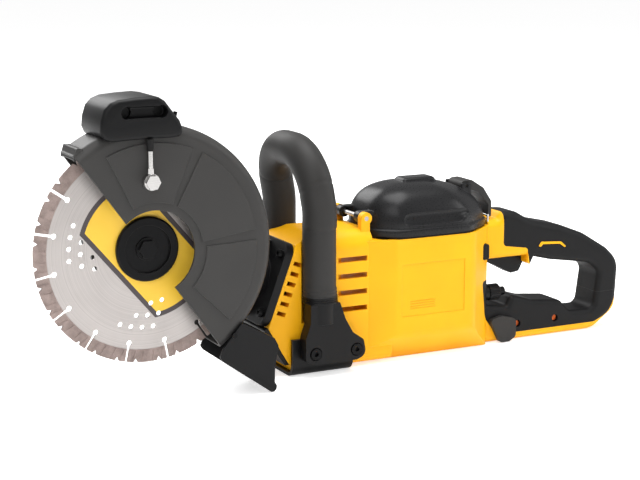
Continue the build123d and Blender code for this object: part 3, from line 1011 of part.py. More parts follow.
# ---------------------------------------------------------------- front handle and bracket
COLLAR_TOP_Z = LEG_FOOT_Z + 7.0
grip = arch(GRIP_R, COLLAR_TOP_Z)
tube = arch(TUBE_R, LEG_FOOT_Z - 16)
pieces["front_handle_tube"] = tube
pieces["front_handle_grip"] = grip - arch(TUBE_R + SEAT_GAP, COLLAR_TOP_Z - 0.01)
FOOT = [(LEG_X - LEG_SOCKET_R, LEG_FOOT_Z), (LEG_X + LEG_SOCKET_R, LEG_FOOT_Z), (20, 62, 10),
        (29, 46, 8), (42, 37, 6), (45, 20, 9), (34, 15.5, 4), (-15, 15.5, 4), (-26.5, 18, 8),
        (-26.5, 44, 6), (-21, 60, 10)]
FOOT_OUT_Y = max(LEG_Y, BRACKET_HALF) + 14.5
feet, foot_bolts = [], []
for side in (-1, 1):
    leg = (LEG_X, side * LEG_Y)
    foot = prism(FOOT, *sorted((side * BRACKET_HALF, side * FOOT_OUT_Y)))
    foot += rod(LEG_SOCKET_R, (*leg, 58), (*leg, LEG_FOOT_Z))
    foot -= rod(TUBE_R + SEAT_GAP, (*leg, LEG_FOOT_Z - 16), (*leg, LEG_FOOT_Z + 1))
    collar = rod(GRIP_R + 0.6, (*leg, LEG_FOOT_Z), (*leg, COLLAR_TOP_Z))
    for z in (LEG_FOOT_Z + 2.4, LEG_FOOT_Z + 4.6):
        groove = rod(GRIP_R + 1, (*leg, z - 0.5), (*leg, z + 0.5))
        collar -= groove - rod(GRIP_R - 0.4, (*leg, z - 1), (*leg, z + 1))
    collar -= rod(TUBE_R + SEAT_GAP, (*leg, LEG_FOOT_Z - 1), (*leg, COLLAR_TOP_Z + 1))
    for x in FOOT_BOLT_X:
        foot -= rod_y(3.5 + SEAT_GAP, *sorted((side * 40, side * (FOOT_OUT_Y + 6))), x, FOOT_BOLT_Z)
        foot -= rod_y(7.0, *sorted((side * (FOOT_OUT_Y - 4), side * (FOOT_OUT_Y + 6))), x, FOOT_BOLT_Z)
        head = rod_y(6.0, *sorted((side * (FOOT_OUT_Y - 4), side * (FOOT_OUT_Y + 1))), x, FOOT_BOLT_Z)
        head -= hexagon(5.0, *sorted((side * (FOOT_OUT_Y - 2), side * (FOOT_OUT_Y + 2))), x, FOOT_BOLT_Z)
        foot_bolts.append(head + rod_y(3.5, *sorted((side * 32, side * (FOOT_OUT_Y - 3))), x, FOOT_BOLT_Z))
    feet.append(foot + collar)
pieces["front_handle_feet"] = group(feet)
pieces["foot_bolts"] = group(foot_bolts)
inner = BRACKET_HALF - BRACKET_T
bracket = prism([(-BRACKET_HALF, BRACKET_TOP_Z), (-BRACKET_HALF, 0, 12), (BRACKET_HALF, 0, 12),
                 (BRACKET_HALF, BRACKET_TOP_Z)], BRACKET_X0, BRACKET_X1, along="x")
bracket -= prism([(-inner, BRACKET_TOP_Z + 1), (-inner, BRACKET_T, 12 - BRACKET_T),
                  (inner, BRACKET_T, 12 - BRACKET_T), (inner, BRACKET_TOP_Z + 1)],
                 BRACKET_X0 - 1, BRACKET_X1 + 1, along="x")
for x in FOOT_BOLT_X:
    bracket -= rod_y(3.5 + 0.1, -60, 60, x, FOOT_BOLT_Z)
pieces["handle_bracket"] = bracket
BELLY_HALF = NOSE_HALF - 1
belly = prism([(front_bottom[0], front_bottom[2]), (-44, 26), (-35.8, 12.8), (-40.8, 12.8),
               (-49, 25, 6), (-65, 53, 2)], -BELLY_HALF, BELLY_HALF)
pieces["belly_plate"] = belly

os.makedirs("parts", exist_ok=True)
for name, shape in pieces.items():
    export_step(shape, f"parts/{name}.step")
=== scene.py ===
"""Looks of a cordless cut-off saw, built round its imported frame. All lengths are in metres.

The frame's sub-parts keep their shapes and get their finishes here. Soft and free-form
pieces, whose surfaces a plain solid can't show, are modelled here and stand for theirs.
"""

import logging
import math
from collections.abc import Callable
from dataclasses import dataclass
from enum import Enum

import bpy
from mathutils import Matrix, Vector


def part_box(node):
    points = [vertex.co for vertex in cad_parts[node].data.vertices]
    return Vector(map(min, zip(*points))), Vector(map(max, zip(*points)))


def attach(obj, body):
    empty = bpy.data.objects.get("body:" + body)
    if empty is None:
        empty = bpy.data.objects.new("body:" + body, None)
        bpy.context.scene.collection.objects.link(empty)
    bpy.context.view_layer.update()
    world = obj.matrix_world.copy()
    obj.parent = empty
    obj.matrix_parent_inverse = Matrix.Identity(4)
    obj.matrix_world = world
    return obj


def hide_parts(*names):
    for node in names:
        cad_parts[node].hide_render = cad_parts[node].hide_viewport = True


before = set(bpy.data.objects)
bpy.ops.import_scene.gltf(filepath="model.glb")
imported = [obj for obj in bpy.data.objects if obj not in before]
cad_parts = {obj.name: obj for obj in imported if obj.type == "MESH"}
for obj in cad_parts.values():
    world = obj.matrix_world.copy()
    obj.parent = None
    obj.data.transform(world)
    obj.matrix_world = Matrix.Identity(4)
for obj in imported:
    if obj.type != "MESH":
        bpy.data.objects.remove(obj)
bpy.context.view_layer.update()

LOG = logging.getLogger("saw")
MM = 0.001
SPINDLE = Vector((-0.200, 0.0, 0.157))   # the spindle's axis runs along Y through this point
BLADE_Y = -0.060                         # middle plane of the disc


# ---------------------------------------------------------------- small helpers
def linear(code: str) -> tuple[float, float, float, float]:
    """Turn an sRGB hex colour into linear values.

    Args:
        code: Colour as "#RRGGBB".

    Returns:
        Linear red, green and blue, and an alpha of one.
    """
    shares = [int(code[i:i + 2], 16) / 255 for i in (1, 3, 5)]
    return (*[s / 12.92 if s <= 0.04045 else ((s + 0.055) / 1.055) ** 2.4 for s in shares], 1.0)


def add_node(tree: bpy.types.NodeTree, kind: str, inputs: dict | None = None,
             **settings: object) -> bpy.types.Node:
    """Add one shader node with its settings, values and links.

    Args:
        tree: Node tree that gets the node.
        kind: Blender's name of the node's type.
        inputs: A value, or a socket to link from, for each input by name or index.
        **settings: Attributes of the node.

    Returns:
        The new node.
    """
    node = tree.nodes.new(kind)
    for key, value in settings.items():
        setattr(node, key, value)
    for key, value in (inputs or {}).items():
        if isinstance(value, bpy.types.NodeSocket):
            tree.links.new(value, node.inputs[key])
        else:
            node.inputs[key].default_value = value
    return node


def new_material(name: str) -> tuple[bpy.types.Material, bpy.types.NodeTree, bpy.types.Node]:
    """Start an empty node material.

    Args:
        name: Name of the finish.

    Returns:
        The material, its node tree, and its principled shader.
    """
    material = bpy.data.materials.new(name)
    material.use_nodes = True
    tree = material.node_tree
    tree.nodes.clear()
    shader = add_node(tree, "ShaderNodeBsdfPrincipled")
    add_node(tree, "ShaderNodeOutputMaterial", {"Surface": shader.outputs[0]})
    return material, tree, shader


def edge_mask(tree: bpy.types.NodeTree, rounded: bpy.types.NodeSocket) -> bpy.types.NodeSocket:
    """Find the sharp edges, which hands and tools rub and which carry the bent plate's painted highlight.

    Args:
        tree: Node tree that gets the mask.
        rounded: Normal with its edges rounded.

    Returns:
        Socket that is one on sharp edges and zero on flat and gently curved surfaces.
    """
    geometry = add_node(tree, "ShaderNodeNewGeometry")
    turn = add_node(tree, "ShaderNodeVectorMath", {0: geometry.outputs["Normal"], 1: rounded},
                    operation="DOT_PRODUCT")
    mask = add_node(tree, "ShaderNodeMapRange", {0: turn.outputs["Value"], 1: 0.995, 2: 0.86, 3: 0.0, 4: 1.0})
    return mask.outputs[0]


# ---------------------------------------------------------------- modelling helpers
def start_clear() -> None:
    """Deselect everything, because an operator acts on all that is selected."""
    bpy.ops.object.select_all(action="DESELECT")


def name_piece(name: str) -> bpy.types.Object:
    """Name the object that an operator has just made.

    Args:
        name: Piece's name.

    Returns:
        The piece.
    """
    piece = bpy.context.object
    piece.name = name
    piece.data.name = name
    return piece


def select_faces(piece: bpy.types.Object, wanted: Callable[[Vector, Vector], bool]) -> None:
    """Select faces by place and direction, leaving the piece in edit mode.

    Args:
        piece: Mesh piece, the active object.
        wanted: Tells from a face's centre and normal whether it is wanted.
    """
    bpy.ops.object.mode_set(mode="EDIT")
    bpy.ops.mesh.select_mode(type="FACE")
    bpy.ops.mesh.select_all(action="DESELECT")
    bpy.ops.object.mode_set(mode="OBJECT")
    for face in piece.data.polygons:
        face.select = wanted(face.center, face.normal)
    bpy.ops.object.mode_set(mode="EDIT")


def apply_modifier(piece: bpy.types.Object, kind: str, **settings: object) -> None:
    """Add a modifier and apply it.

    Args:
        piece: Mesh piece.
        kind: Blender's name of the modifier's type.
        **settings: Attributes of the modifier.
    """
    start_clear()
    piece.select_set(True)
    bpy.context.view_layer.objects.active = piece
    modifier = piece.modifiers.new(kind.lower(), kind)
    for key, value in settings.items():
        setattr(modifier, key, value)
    bpy.ops.object.modifier_apply(modifier=modifier.name)


def settle(piece: bpy.types.Object, smooth_angle: float = 35.0) -> bpy.types.Object:
    """Put a finished piece's place into its mesh and shade it smooth.

    Args:
        piece: Mesh piece.
        smooth_angle: Sharpest edge that is shaded smooth, in degrees.

    Returns:
        The piece, at the origin, unturned and unscaled.
    """
    start_clear()
    piece.select_set(True)
    bpy.context.view_layer.objects.active = piece
    bpy.ops.object.transform_apply(location=True, rotation=True, scale=True)
    bpy.ops.object.shade_smooth_by_angle(angle=math.radians(smooth_angle))
    return piece


def rounded_block(name: str, low: tuple[float, float, float], high: tuple[float, float, float],
                  radius: float) -> bpy.types.Object:
    """Block between two corners with rounded edges.

    Args:
        name: Piece's name.
        low: Lowest corner.
        high: Highest corner.
        radius: Radius of its edges.

    Returns:
        The block.
    """
    start_clear()
    centre = [(a + b) / 2 for a, b in zip(low, high)]
    bpy.ops.mesh.primitive_cube_add(size=1.0, location=centre)
    piece = name_piece(name)
    piece.scale = [b - a for a, b in zip(low, high)]
    settle(piece)
    apply_modifier(piece, "BEVEL", width=radius, segments=4, limit_method="ANGLE")
    return settle(piece)


def barrel(name: str, radius: float, start: Vector, end: Vector, rounding: float) -> bpy.types.Object:
    """Cylinder between two points with rounded rims.

    Args:
        name: Piece's name.
        radius: Its radius.
        start: Centre of one end.
        end: Centre of the other end.
        rounding: Radius of its rims.

    Returns:
        The cylinder.
    """
    start_clear()
    axis = end - start
    turn = axis.to_track_quat("Z", "Y").to_euler()
    bpy.ops.mesh.primitive_cylinder_add(vertices=40, radius=radius, depth=axis.length,
                                        location=(start + end) / 2, rotation=turn)
    piece = name_piece(name)
    settle(piece)
    apply_modifier(piece, "BEVEL", width=rounding, segments=3, limit_method="ANGLE")
    return settle(piece)


def join_into(piece: bpy.types.Object, others: list[bpy.types.Object]) -> bpy.types.Object:
    """Join pieces moulded as one.

    Args:
        piece: Piece that the others join.
        others: Pieces that become part of it.

    Returns:
        The joined piece.
    """
    start_clear()
    for other in others:
        other.select_set(True)
    piece.select_set(True)
    bpy.context.view_layer.objects.active = piece
    bpy.ops.object.join()
    return piece


# ---------------------------------------------------------------- finishes
@dataclass(frozen=True)
class MouldedFinish:
    """Moulded, overmoulded or coated surface: one colour, fine grain, scuffed edges, which on the bent plate
    carry a painted highlight.

    Attributes:
        name: What the surface is, in a maker's words.
        colour: sRGB colour of the surface.
        edge_wear_and_highlight_colour: sRGB colour of its scuffed edges; on the bent plate a painted
            highlight.
        roughness: Middle roughness.
        grain_mm: Spacing of the grain.
        grain_depth_mm: Height of the grain.
        edge_mm: Radius of its edges.
        edge_wear_and_highlight_share: How much of an edge takes that colour, from 0 to 1.
        metallic: One for a bare metal.
        ior: Index of refraction of a plastic, rubber or paint.
        sheen: Strength of its mirror reflection, 0.5 on a polished surface.
    """
    name: str
    colour: str
    edge_wear_and_highlight_colour: str
    roughness: float
    grain_mm: float
    grain_depth_mm: float
    edge_mm: float = 0.5
    edge_wear_and_highlight_share: float = 0.4
    metallic: float = 0.0
    ior: float = 1.5
    sheen: float = 0.2

    def build(self) -> bpy.types.Material:
        """Build the material.

        Returns:
            The finished material.
        """
        material, tree, shader = new_material(self.name)
        place = add_node(tree, "ShaderNodeTexCoord").outputs["Object"]
        rounded = add_node(tree, "ShaderNodeBevel", {0: self.edge_mm * MM}, samples=6).outputs[0]
        # slow cloudiness, 40 mm across, from the flow of the melt or the spray
        clouds = add_node(tree, "ShaderNodeTexNoise",
                          {"Vector": place, "Scale": 1 / (40 * MM), "Detail": 2.0}).outputs[0]
        grain = add_node(tree, "ShaderNodeTexNoise",
                         {"Vector": place, "Scale": 1 / (self.grain_mm * MM),
                          "Detail": 2.0, "Roughness": 0.6}).outputs[0]
        # an edge is scuffed in patches, where hands and the ground reach it; on the bent plate the same
        # lighter patches are a painted highlight
        patches = add_node(tree, "ShaderNodeMapRange", {0: clouds, 1: 0.35, 2: 0.65, 3: 0.2, 4: self.edge_wear_and_highlight_share})
        edge_wear_and_highlight = add_node(tree, "ShaderNodeMath", {0: edge_mask(tree, rounded), 1: patches.outputs[0]},
                          operation="MULTIPLY").outputs[0]
        depth = add_node(tree, "ShaderNodeMapRange", {0: clouds, 1: 0.3, 2: 0.7, 3: 0.0, 4: 1.0})
        base = add_node(tree, "ShaderNodeMix",
                        {0: depth.outputs[0], 6: linear(self.colour), 7: self.shaded()}, data_type="RGBA")
        # sharp edges take the lighter edge colour: scuffed coat, and on the bent plate a painted highlight
        colour = add_node(tree, "ShaderNodeMix", {0: edge_wear_and_highlight, 6: base.outputs[2], 7: linear(self.edge_wear_and_highlight_colour)},
                          data_type="RGBA")
        tree.links.new(colour.outputs[2], shader.inputs["Base Color"])
        rough = add_node(tree, "ShaderNodeMapRange",
                         {0: grain, 1: 0.3, 2: 0.7, 3: self.roughness - 0.05, 4: self.roughness + 0.05})
        polish = add_node(tree, "ShaderNodeMath", {0: edge_wear_and_highlight, 1: 0.12}, operation="MULTIPLY")
        rough = add_node(tree, "ShaderNodeMath", {0: rough.outputs[0], 1: polish.outputs[0]},
                         operation="SUBTRACT")
        tree.links.new(rough.outputs[0], shader.inputs["Roughness"])
        bump = add_node(tree, "ShaderNodeBump",
                        {"Height": grain, "Normal": rounded, "Strength": 1.0,
                         "Distance": self.grain_depth_mm * MM})
        tree.links.new(bump.outputs[0], shader.inputs["Normal"])
        shader.inputs["Metallic"].default_value = self.metallic
        shader.inputs["IOR"].default_value = self.ior
        shader.inputs["Specular IOR Level"].default_value = self.sheen
        return material

    def shaded(self) -> tuple[float, float, float, float]:
        """The colour a touch darker, for the cloudiness."""
        return (*[c * 0.93 for c in linear(self.colour)[:3]], 1.0)


@dataclass(frozen=True)
class MachinedFinish:
    """Turned, ground or plated metal with fine lines round an axis along Y.

    Attributes:
        name: What the metal is and how it was made.
        colour: sRGB colour of the metal.
        roughness: Middle roughness.
        line_mm: Spacing of the tool's lines, drawn as coarse as shows.
        centre: Point on the axis the lines run round.
    """
    name: str
    colour: str
    roughness: float
    line_mm: float = 0.8
    centre: tuple[float, float, float] = tuple(SPINDLE)

    def build(self) -> bpy.types.Material:
        """Build the material.

        Returns:
            The finished material.
        """
        material, tree, shader = new_material(self.name)
        place = add_node(tree, "ShaderNodeTexCoord").outputs["Object"]
        local = add_node(tree, "ShaderNodeVectorMath", {0: place, 1: self.centre},
                         operation="SUBTRACT").outputs[0]
        flat = add_node(tree, "ShaderNodeVectorMath", {0: local, 1: (1.0, 0.0, 1.0)},
                        operation="MULTIPLY").outputs[0]
        radius = add_node(tree, "ShaderNodeVectorMath", {0: flat}, operation="LENGTH").outputs["Value"]
        lines = add_node(tree, "ShaderNodeTexNoise", {"W": radius, "Scale": 1 / (self.line_mm * MM),
                                                      "Detail": 3.0}, noise_dimensions="1D").outputs[0]
        smudge = add_node(tree, "ShaderNodeTexNoise", {"Vector": place, "Scale": 1 / (25 * MM)}).outputs[0]
        rounded = add_node(tree, "ShaderNodeBevel", {0: 0.3 * MM}, samples=6).outputs[0]
        dark = (*[c * 0.8 for c in linear(self.colour)[:3]], 1.0)
        share = add_node(tree, "ShaderNodeMapRange", {0: lines, 1: 0.35, 2: 0.65, 3: 0.0, 4: 0.6})
        colour = add_node(tree, "ShaderNodeMix", {0: share.outputs[0], 6: linear(self.colour), 7: dark},
                          data_type="RGBA")
        tree.links.new(colour.outputs[2], shader.inputs["Base Color"])
        rough = add_node(tree, "ShaderNodeMapRange",
                         {0: smudge, 1: 0.3, 2: 0.7, 3: self.roughness - 0.06, 4: self.roughness + 0.08})
        tree.links.new(rough.outputs[0], shader.inputs["Roughness"])
        bump = add_node(tree, "ShaderNodeBump", {"Height": lines, "Normal": rounded, "Strength": 0.5,
                                                 "Distance": 0.02 * MM})
        tree.links.new(bump.outputs[0], shader.inputs["Normal"])
        shader.inputs["Metallic"].default_value = 1.0
        return material


@dataclass(frozen=True)
class PrintedDiscFinish:
    """Ground tool steel with a printed band across the hub.

    The print is plain: an ochre field inside a dark border, cut straight on both sides.
    """
    name: str = "ground tool steel, printed"
    steel: str = "#BDB7B4"
    field: str = "#F4C63C"
    border: str = "#453D3F"
    outer_mm: float = 71.0        # radius of the border's round ends
    border_mm: float = 4.8
    half_band_mm: float = 39.7    # from the hub to the border's straight edge
    band_turn: float = math.radians(-49.9)   # direction of the straight edges

    def build(self) -> bpy.types.Material:
        """Build the material.

        Returns:
            The finished material.
        """
        material, tree, shader = new_material(self.name)
        place = add_node(tree, "ShaderNodeTexCoord").outputs["Object"]
        local = add_node(tree, "ShaderNodeVectorMath", {0: place, 1: (SPINDLE.x, BLADE_Y, SPINDLE.z)},
                         operation="SUBTRACT").outputs[0]
        flat = add_node(tree, "ShaderNodeVectorMath", {0: local, 1: (1.0, 0.0, 1.0)},
                        operation="MULTIPLY").outputs[0]
        radius = add_node(tree, "ShaderNodeVectorMath", {0: flat}, operation="LENGTH").outputs["Value"]
        across_way = (-math.sin(self.band_turn), 0.0, math.cos(self.band_turn))
        across = add_node(tree, "ShaderNodeVectorMath", {0: flat, 1: across_way},
                          operation="DOT_PRODUCT").outputs["Value"]
        across = add_node(tree, "ShaderNodeMath", {0: across}, operation="ABSOLUTE").outputs[0]
        outer = self.inside(tree, radius, across, 0.0)
        inner = self.inside(tree, radius, across, self.border_mm)
        lines = add_node(tree, "ShaderNodeTexNoise", {"W": radius, "Scale": 1 / (1.2 * MM),
                                                      "Detail": 3.0}, noise_dimensions="1D").outputs[0]
        smudge = add_node(tree, "ShaderNodeTexNoise", {"Vector": place, "Scale": 1 / (30 * MM)}).outputs[0]
        dark = (*[c * 0.86 for c in linear(self.steel)[:3]], 1.0)
        share = add_node(tree, "ShaderNodeMapRange", {0: lines, 1: 0.3, 2: 0.7, 3: 0.0, 4: 1.0})
        steel = add_node(tree, "ShaderNodeMix", {0: share.outputs[0], 6: linear(self.steel), 7: dark},
                         data_type="RGBA")
        inked = add_node(tree, "ShaderNodeMix", {0: outer, 6: steel.outputs[2], 7: linear(self.border)},
                         data_type="RGBA")
        colour = add_node(tree, "ShaderNodeMix", {0: inner, 6: inked.outputs[2], 7: linear(self.field)},
                          data_type="RGBA")
        tree.links.new(colour.outputs[2], shader.inputs["Base Color"])
        # bare steel is a metal; ink lies on it as a thin dull film
        film = add_node(tree, "ShaderNodeMath", {0: outer, 1: 0.8}, operation="MULTIPLY")
        metal = add_node(tree, "ShaderNodeMath", {0: 0.85, 1: film.outputs[0]}, operation="SUBTRACT")
        tree.links.new(metal.outputs[0], shader.inputs["Metallic"])
        rough = add_node(tree, "ShaderNodeMapRange", {0: smudge, 1: 0.3, 2: 0.7, 3: 0.38, 4: 0.5})
        tree.links.new(rough.outputs[0], shader.inputs["Roughness"])
        bump = add_node(tree, "ShaderNodeBump", {"Height": lines, "Strength": 0.4, "Distance": 0.02 * MM})
        tree.links.new(bump.outputs[0], shader.inputs["Normal"])
        return material

    def inside(self, tree: bpy.types.NodeTree, radius: bpy.types.NodeSocket,
               across: bpy.types.NodeSocket, inset_mm: float) -> bpy.types.NodeSocket:
        """Find the band, moved inwards.

        Args:
            tree: Node tree that gets the nodes.
            radius: Distance from the hub.
            across: Distance from the band's middle line.
            inset_mm: How far inside the band's outline.

        Returns:
            Socket that is one inside the band.
        """
        in_round = add_node(tree, "ShaderNodeMath", {0: radius, 1: (self.outer_mm - inset_mm) * MM},
                            operation="LESS_THAN")
        in_band = add_node(tree, "ShaderNodeMath", {0: across, 1: (self.half_band_mm - inset_mm) * MM},
                           operation="LESS_THAN")
        return add_node(tree, "ShaderNodeMath", {0: in_round.outputs[0], 1: in_band.outputs[0]},
                        operation="MULTIPLY").outputs[0]


@dataclass(frozen=True)
class SinteredFinish:
    """Metal powder and diamond grit pressed and sintered: dull, speckled, pitted."""
    name: str = "sintered diamond segment"
    bond: str = "#A08F89"
    grit: str = "#6F615C"
    grit_mm: float = 1.0          # real grit is 0.5 mm, drawn coarser so that it shows

    def build(self) -> bpy.types.Material:
        """Build the material.

        Returns:
            The finished material.
        """
        material, tree, shader = new_material(self.name)
        place = add_node(tree, "ShaderNodeTexCoord").outputs["Object"]
        grains = add_node(tree, "ShaderNodeTexVoronoi",
                          {"Vector": place, "Scale": 1 / (self.grit_mm * MM)}).outputs["Distance"]
        clouds = add_node(tree, "ShaderNodeTexNoise", {"Vector": place, "Scale": 1 / (8 * MM),
                                                       "Detail": 4.0}).outputs[0]
        share = add_node(tree, "ShaderNodeMapRange", {0: clouds, 1: 0.35, 2: 0.65, 3: 0.0, 4: 0.5})
        base = add_node(tree, "ShaderNodeMix",
                        {0: share.outputs[0], 6: linear(self.bond), 7: linear(self.grit)}, data_type="RGBA")
        speck = add_node(tree, "ShaderNodeMapRange", {0: grains, 1: 0.15, 2: 0.4, 3: 1.0, 4: 0.0})
        speck = add_node(tree, "ShaderNodeMath", {0: speck.outputs[0], 1: 0.4}, operation="MULTIPLY")
        colour = add_node(tree, "ShaderNodeMix",
                          {0: speck.outputs[0], 6: base.outputs[2], 7: linear(self.grit)}, data_type="RGBA")
        tree.links.new(colour.outputs[2], shader.inputs["Base Color"])
        bump = add_node(tree, "ShaderNodeBump", {"Height": grains, "Strength": 0.8, "Distance": 0.08 * MM})
        tree.links.new(bump.outputs[0], shader.inputs["Normal"])
        shader.inputs["Metallic"].default_value = 0.35
        shader.inputs["Roughness"].default_value = 0.6
        return material


class Finish(Enum):
    """Every finish on the saw."""
    # glass-filled nylon, satin from a spark-eroded mould
    YELLOW_SHELL = MouldedFinish(
        "glass-filled nylon, yellow", "#FBB511", "#FFC83A", 0.40, 0.9, 0.010, 0.8, 0.5)
    BLACK_MOULDING = MouldedFinish(
        "glass-filled nylon, black", "#0E0E0F", "#242425", 0.42, 0.8, 0.015, 0.7, 0.4)
    # soft thermoplastic rubber, dull, with a dusty bloom on raised edges
    SOFT_GRIP = MouldedFinish(
        "overmoulded soft rubber, black", "#131314", "#333230", 0.55, 0.7, 0.03, 1.2, 0.6)
    HANDLE_GRIP = MouldedFinish(
        "overmoulded soft rubber, grey", "#333231", "#4A4846", 0.52, 0.8, 0.03, 1.2, 0.5)
    LID_SHELL = MouldedFinish(
        "smooth nylon, charcoal", "#1E1E1F", "#343435", 0.30, 1.4, 0.005, 0.8, 0.4)
    # stamped magnesium alloy under a fine-textured powder coat
    GUARD_COAT = MouldedFinish(
        "powder coat, graphite", "#3B3A39", "#5A5857", 0.42, 0.7, 0.02, 0.9, 0.5)
    CASTING = MouldedFinish(
        "painted die casting, black", "#131314", "#2A2A2B", 0.45, 1.6, 0.05, 0.8, 0.5)
    BLACK_STEEL = MouldedFinish(
        "steel, black phosphate", "#0F0F10", "#4A4846", 0.38, 0.8, 0.01, 0.4, 0.7, 0.4)
    # black plate whose wide light grey edges are partly scuffed coat and mostly a painted highlight on its
    # rounded bends
    BENT_PLATE = MouldedFinish(
        "steel plate, black powder coat", "#0D0D0E", "#6B6769", 0.33, 0.9, 0.015, 0.6, 0.9)
    RUBBER_SEAL = MouldedFinish(
        "nitrile rubber", "#161616", "#2A2A2A", 0.6, 0.6, 0.02)
    COPPER_SCREW = MouldedFinish(
        "copper-washed screw", "#B4562A", "#D98A5A", 0.35, 0.5, 0.01, 0.3, 0.5, 0.8)
    BATTERY_CASE = MouldedFinish(
        "battery case, black", "#1C1C1C", "#333333", 0.45, 0.9, 0.015)
    LAMINATION = MouldedFinish(
        "electrical steel stack", "#5A5654", "#77726F", 0.5, 0.5, 0.02, 0.2, 0.3, 0.8)
    ENAMEL_WIRE = MouldedFinish(
        "enamelled copper wire", "#A8552B", "#C77A4A", 0.3, 0.8, 0.06, 0.4, 0.3, 0.7)
    ZINC = MachinedFinish("bright zinc plate", "#CFCDCB", 0.26)
    TURNED_STEEL = MachinedFinish("turned steel", "#B5B2B0", 0.32)
    DISC = PrintedDiscFinish()
    SEGMENT = SinteredFinish()


class Wardrobe:
    """Builds each finish once and hands it out."""

    def __init__(self) -> None:
        """Start with nothing built."""
        self.made: dict[Finish, bpy.types.Material] = {}

    def get(self, finish: Finish) -> bpy.types.Material:
        """Give a finish's material, built the first time it is asked for.

        Args:
            finish: Finish wanted.

        Returns:
            Its material.
        """
        if finish not in self.made:
            self.made[finish] = finish.value.build()
        return self.made[finish]

    def dress(self, piece: bpy.types.Object, finish: Finish) -> None:
        """Give a piece one finish all over.

        Args:
            piece: Mesh piece or sub-part of the frame.
            finish: Its finish.
        """
        piece.data.materials.clear()
        piece.data.materials.append(self.get(finish))

    def dress_nodes(self, finishes: dict[str, Finish]) -> None:
        """Give each named sub-part of the frame its finish.

        Args:
            finishes: Finish of each sub-part by name.
        """
        for name, finish in finishes.items():
            self.dress(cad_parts[name], finish)
            LOG.info("%s: %s", name, finish.value.name)


# ---------------------------------------------------------------- sub-assemblies
@dataclass
class CuttingDisc:
    """Diamond disc, its flanges, bolt, spindle and gear."""
    wardrobe: Wardrobe

    def build(self) -> None:
        """Dress the disc and what turns with it."""
        self.wardrobe.dress_nodes({
            "blade_core": Finish.DISC, "blade_segments": Finish.SEGMENT,
            "outer_flange": Finish.BLACK_STEEL, "arbor_bolt": Finish.BLACK_STEEL,
            "inner_flange": Finish.TURNED_STEEL, "spindle": Finish.TURNED_STEEL,
            "spindle_gear": Finish.TURNED_STEEL,
        })


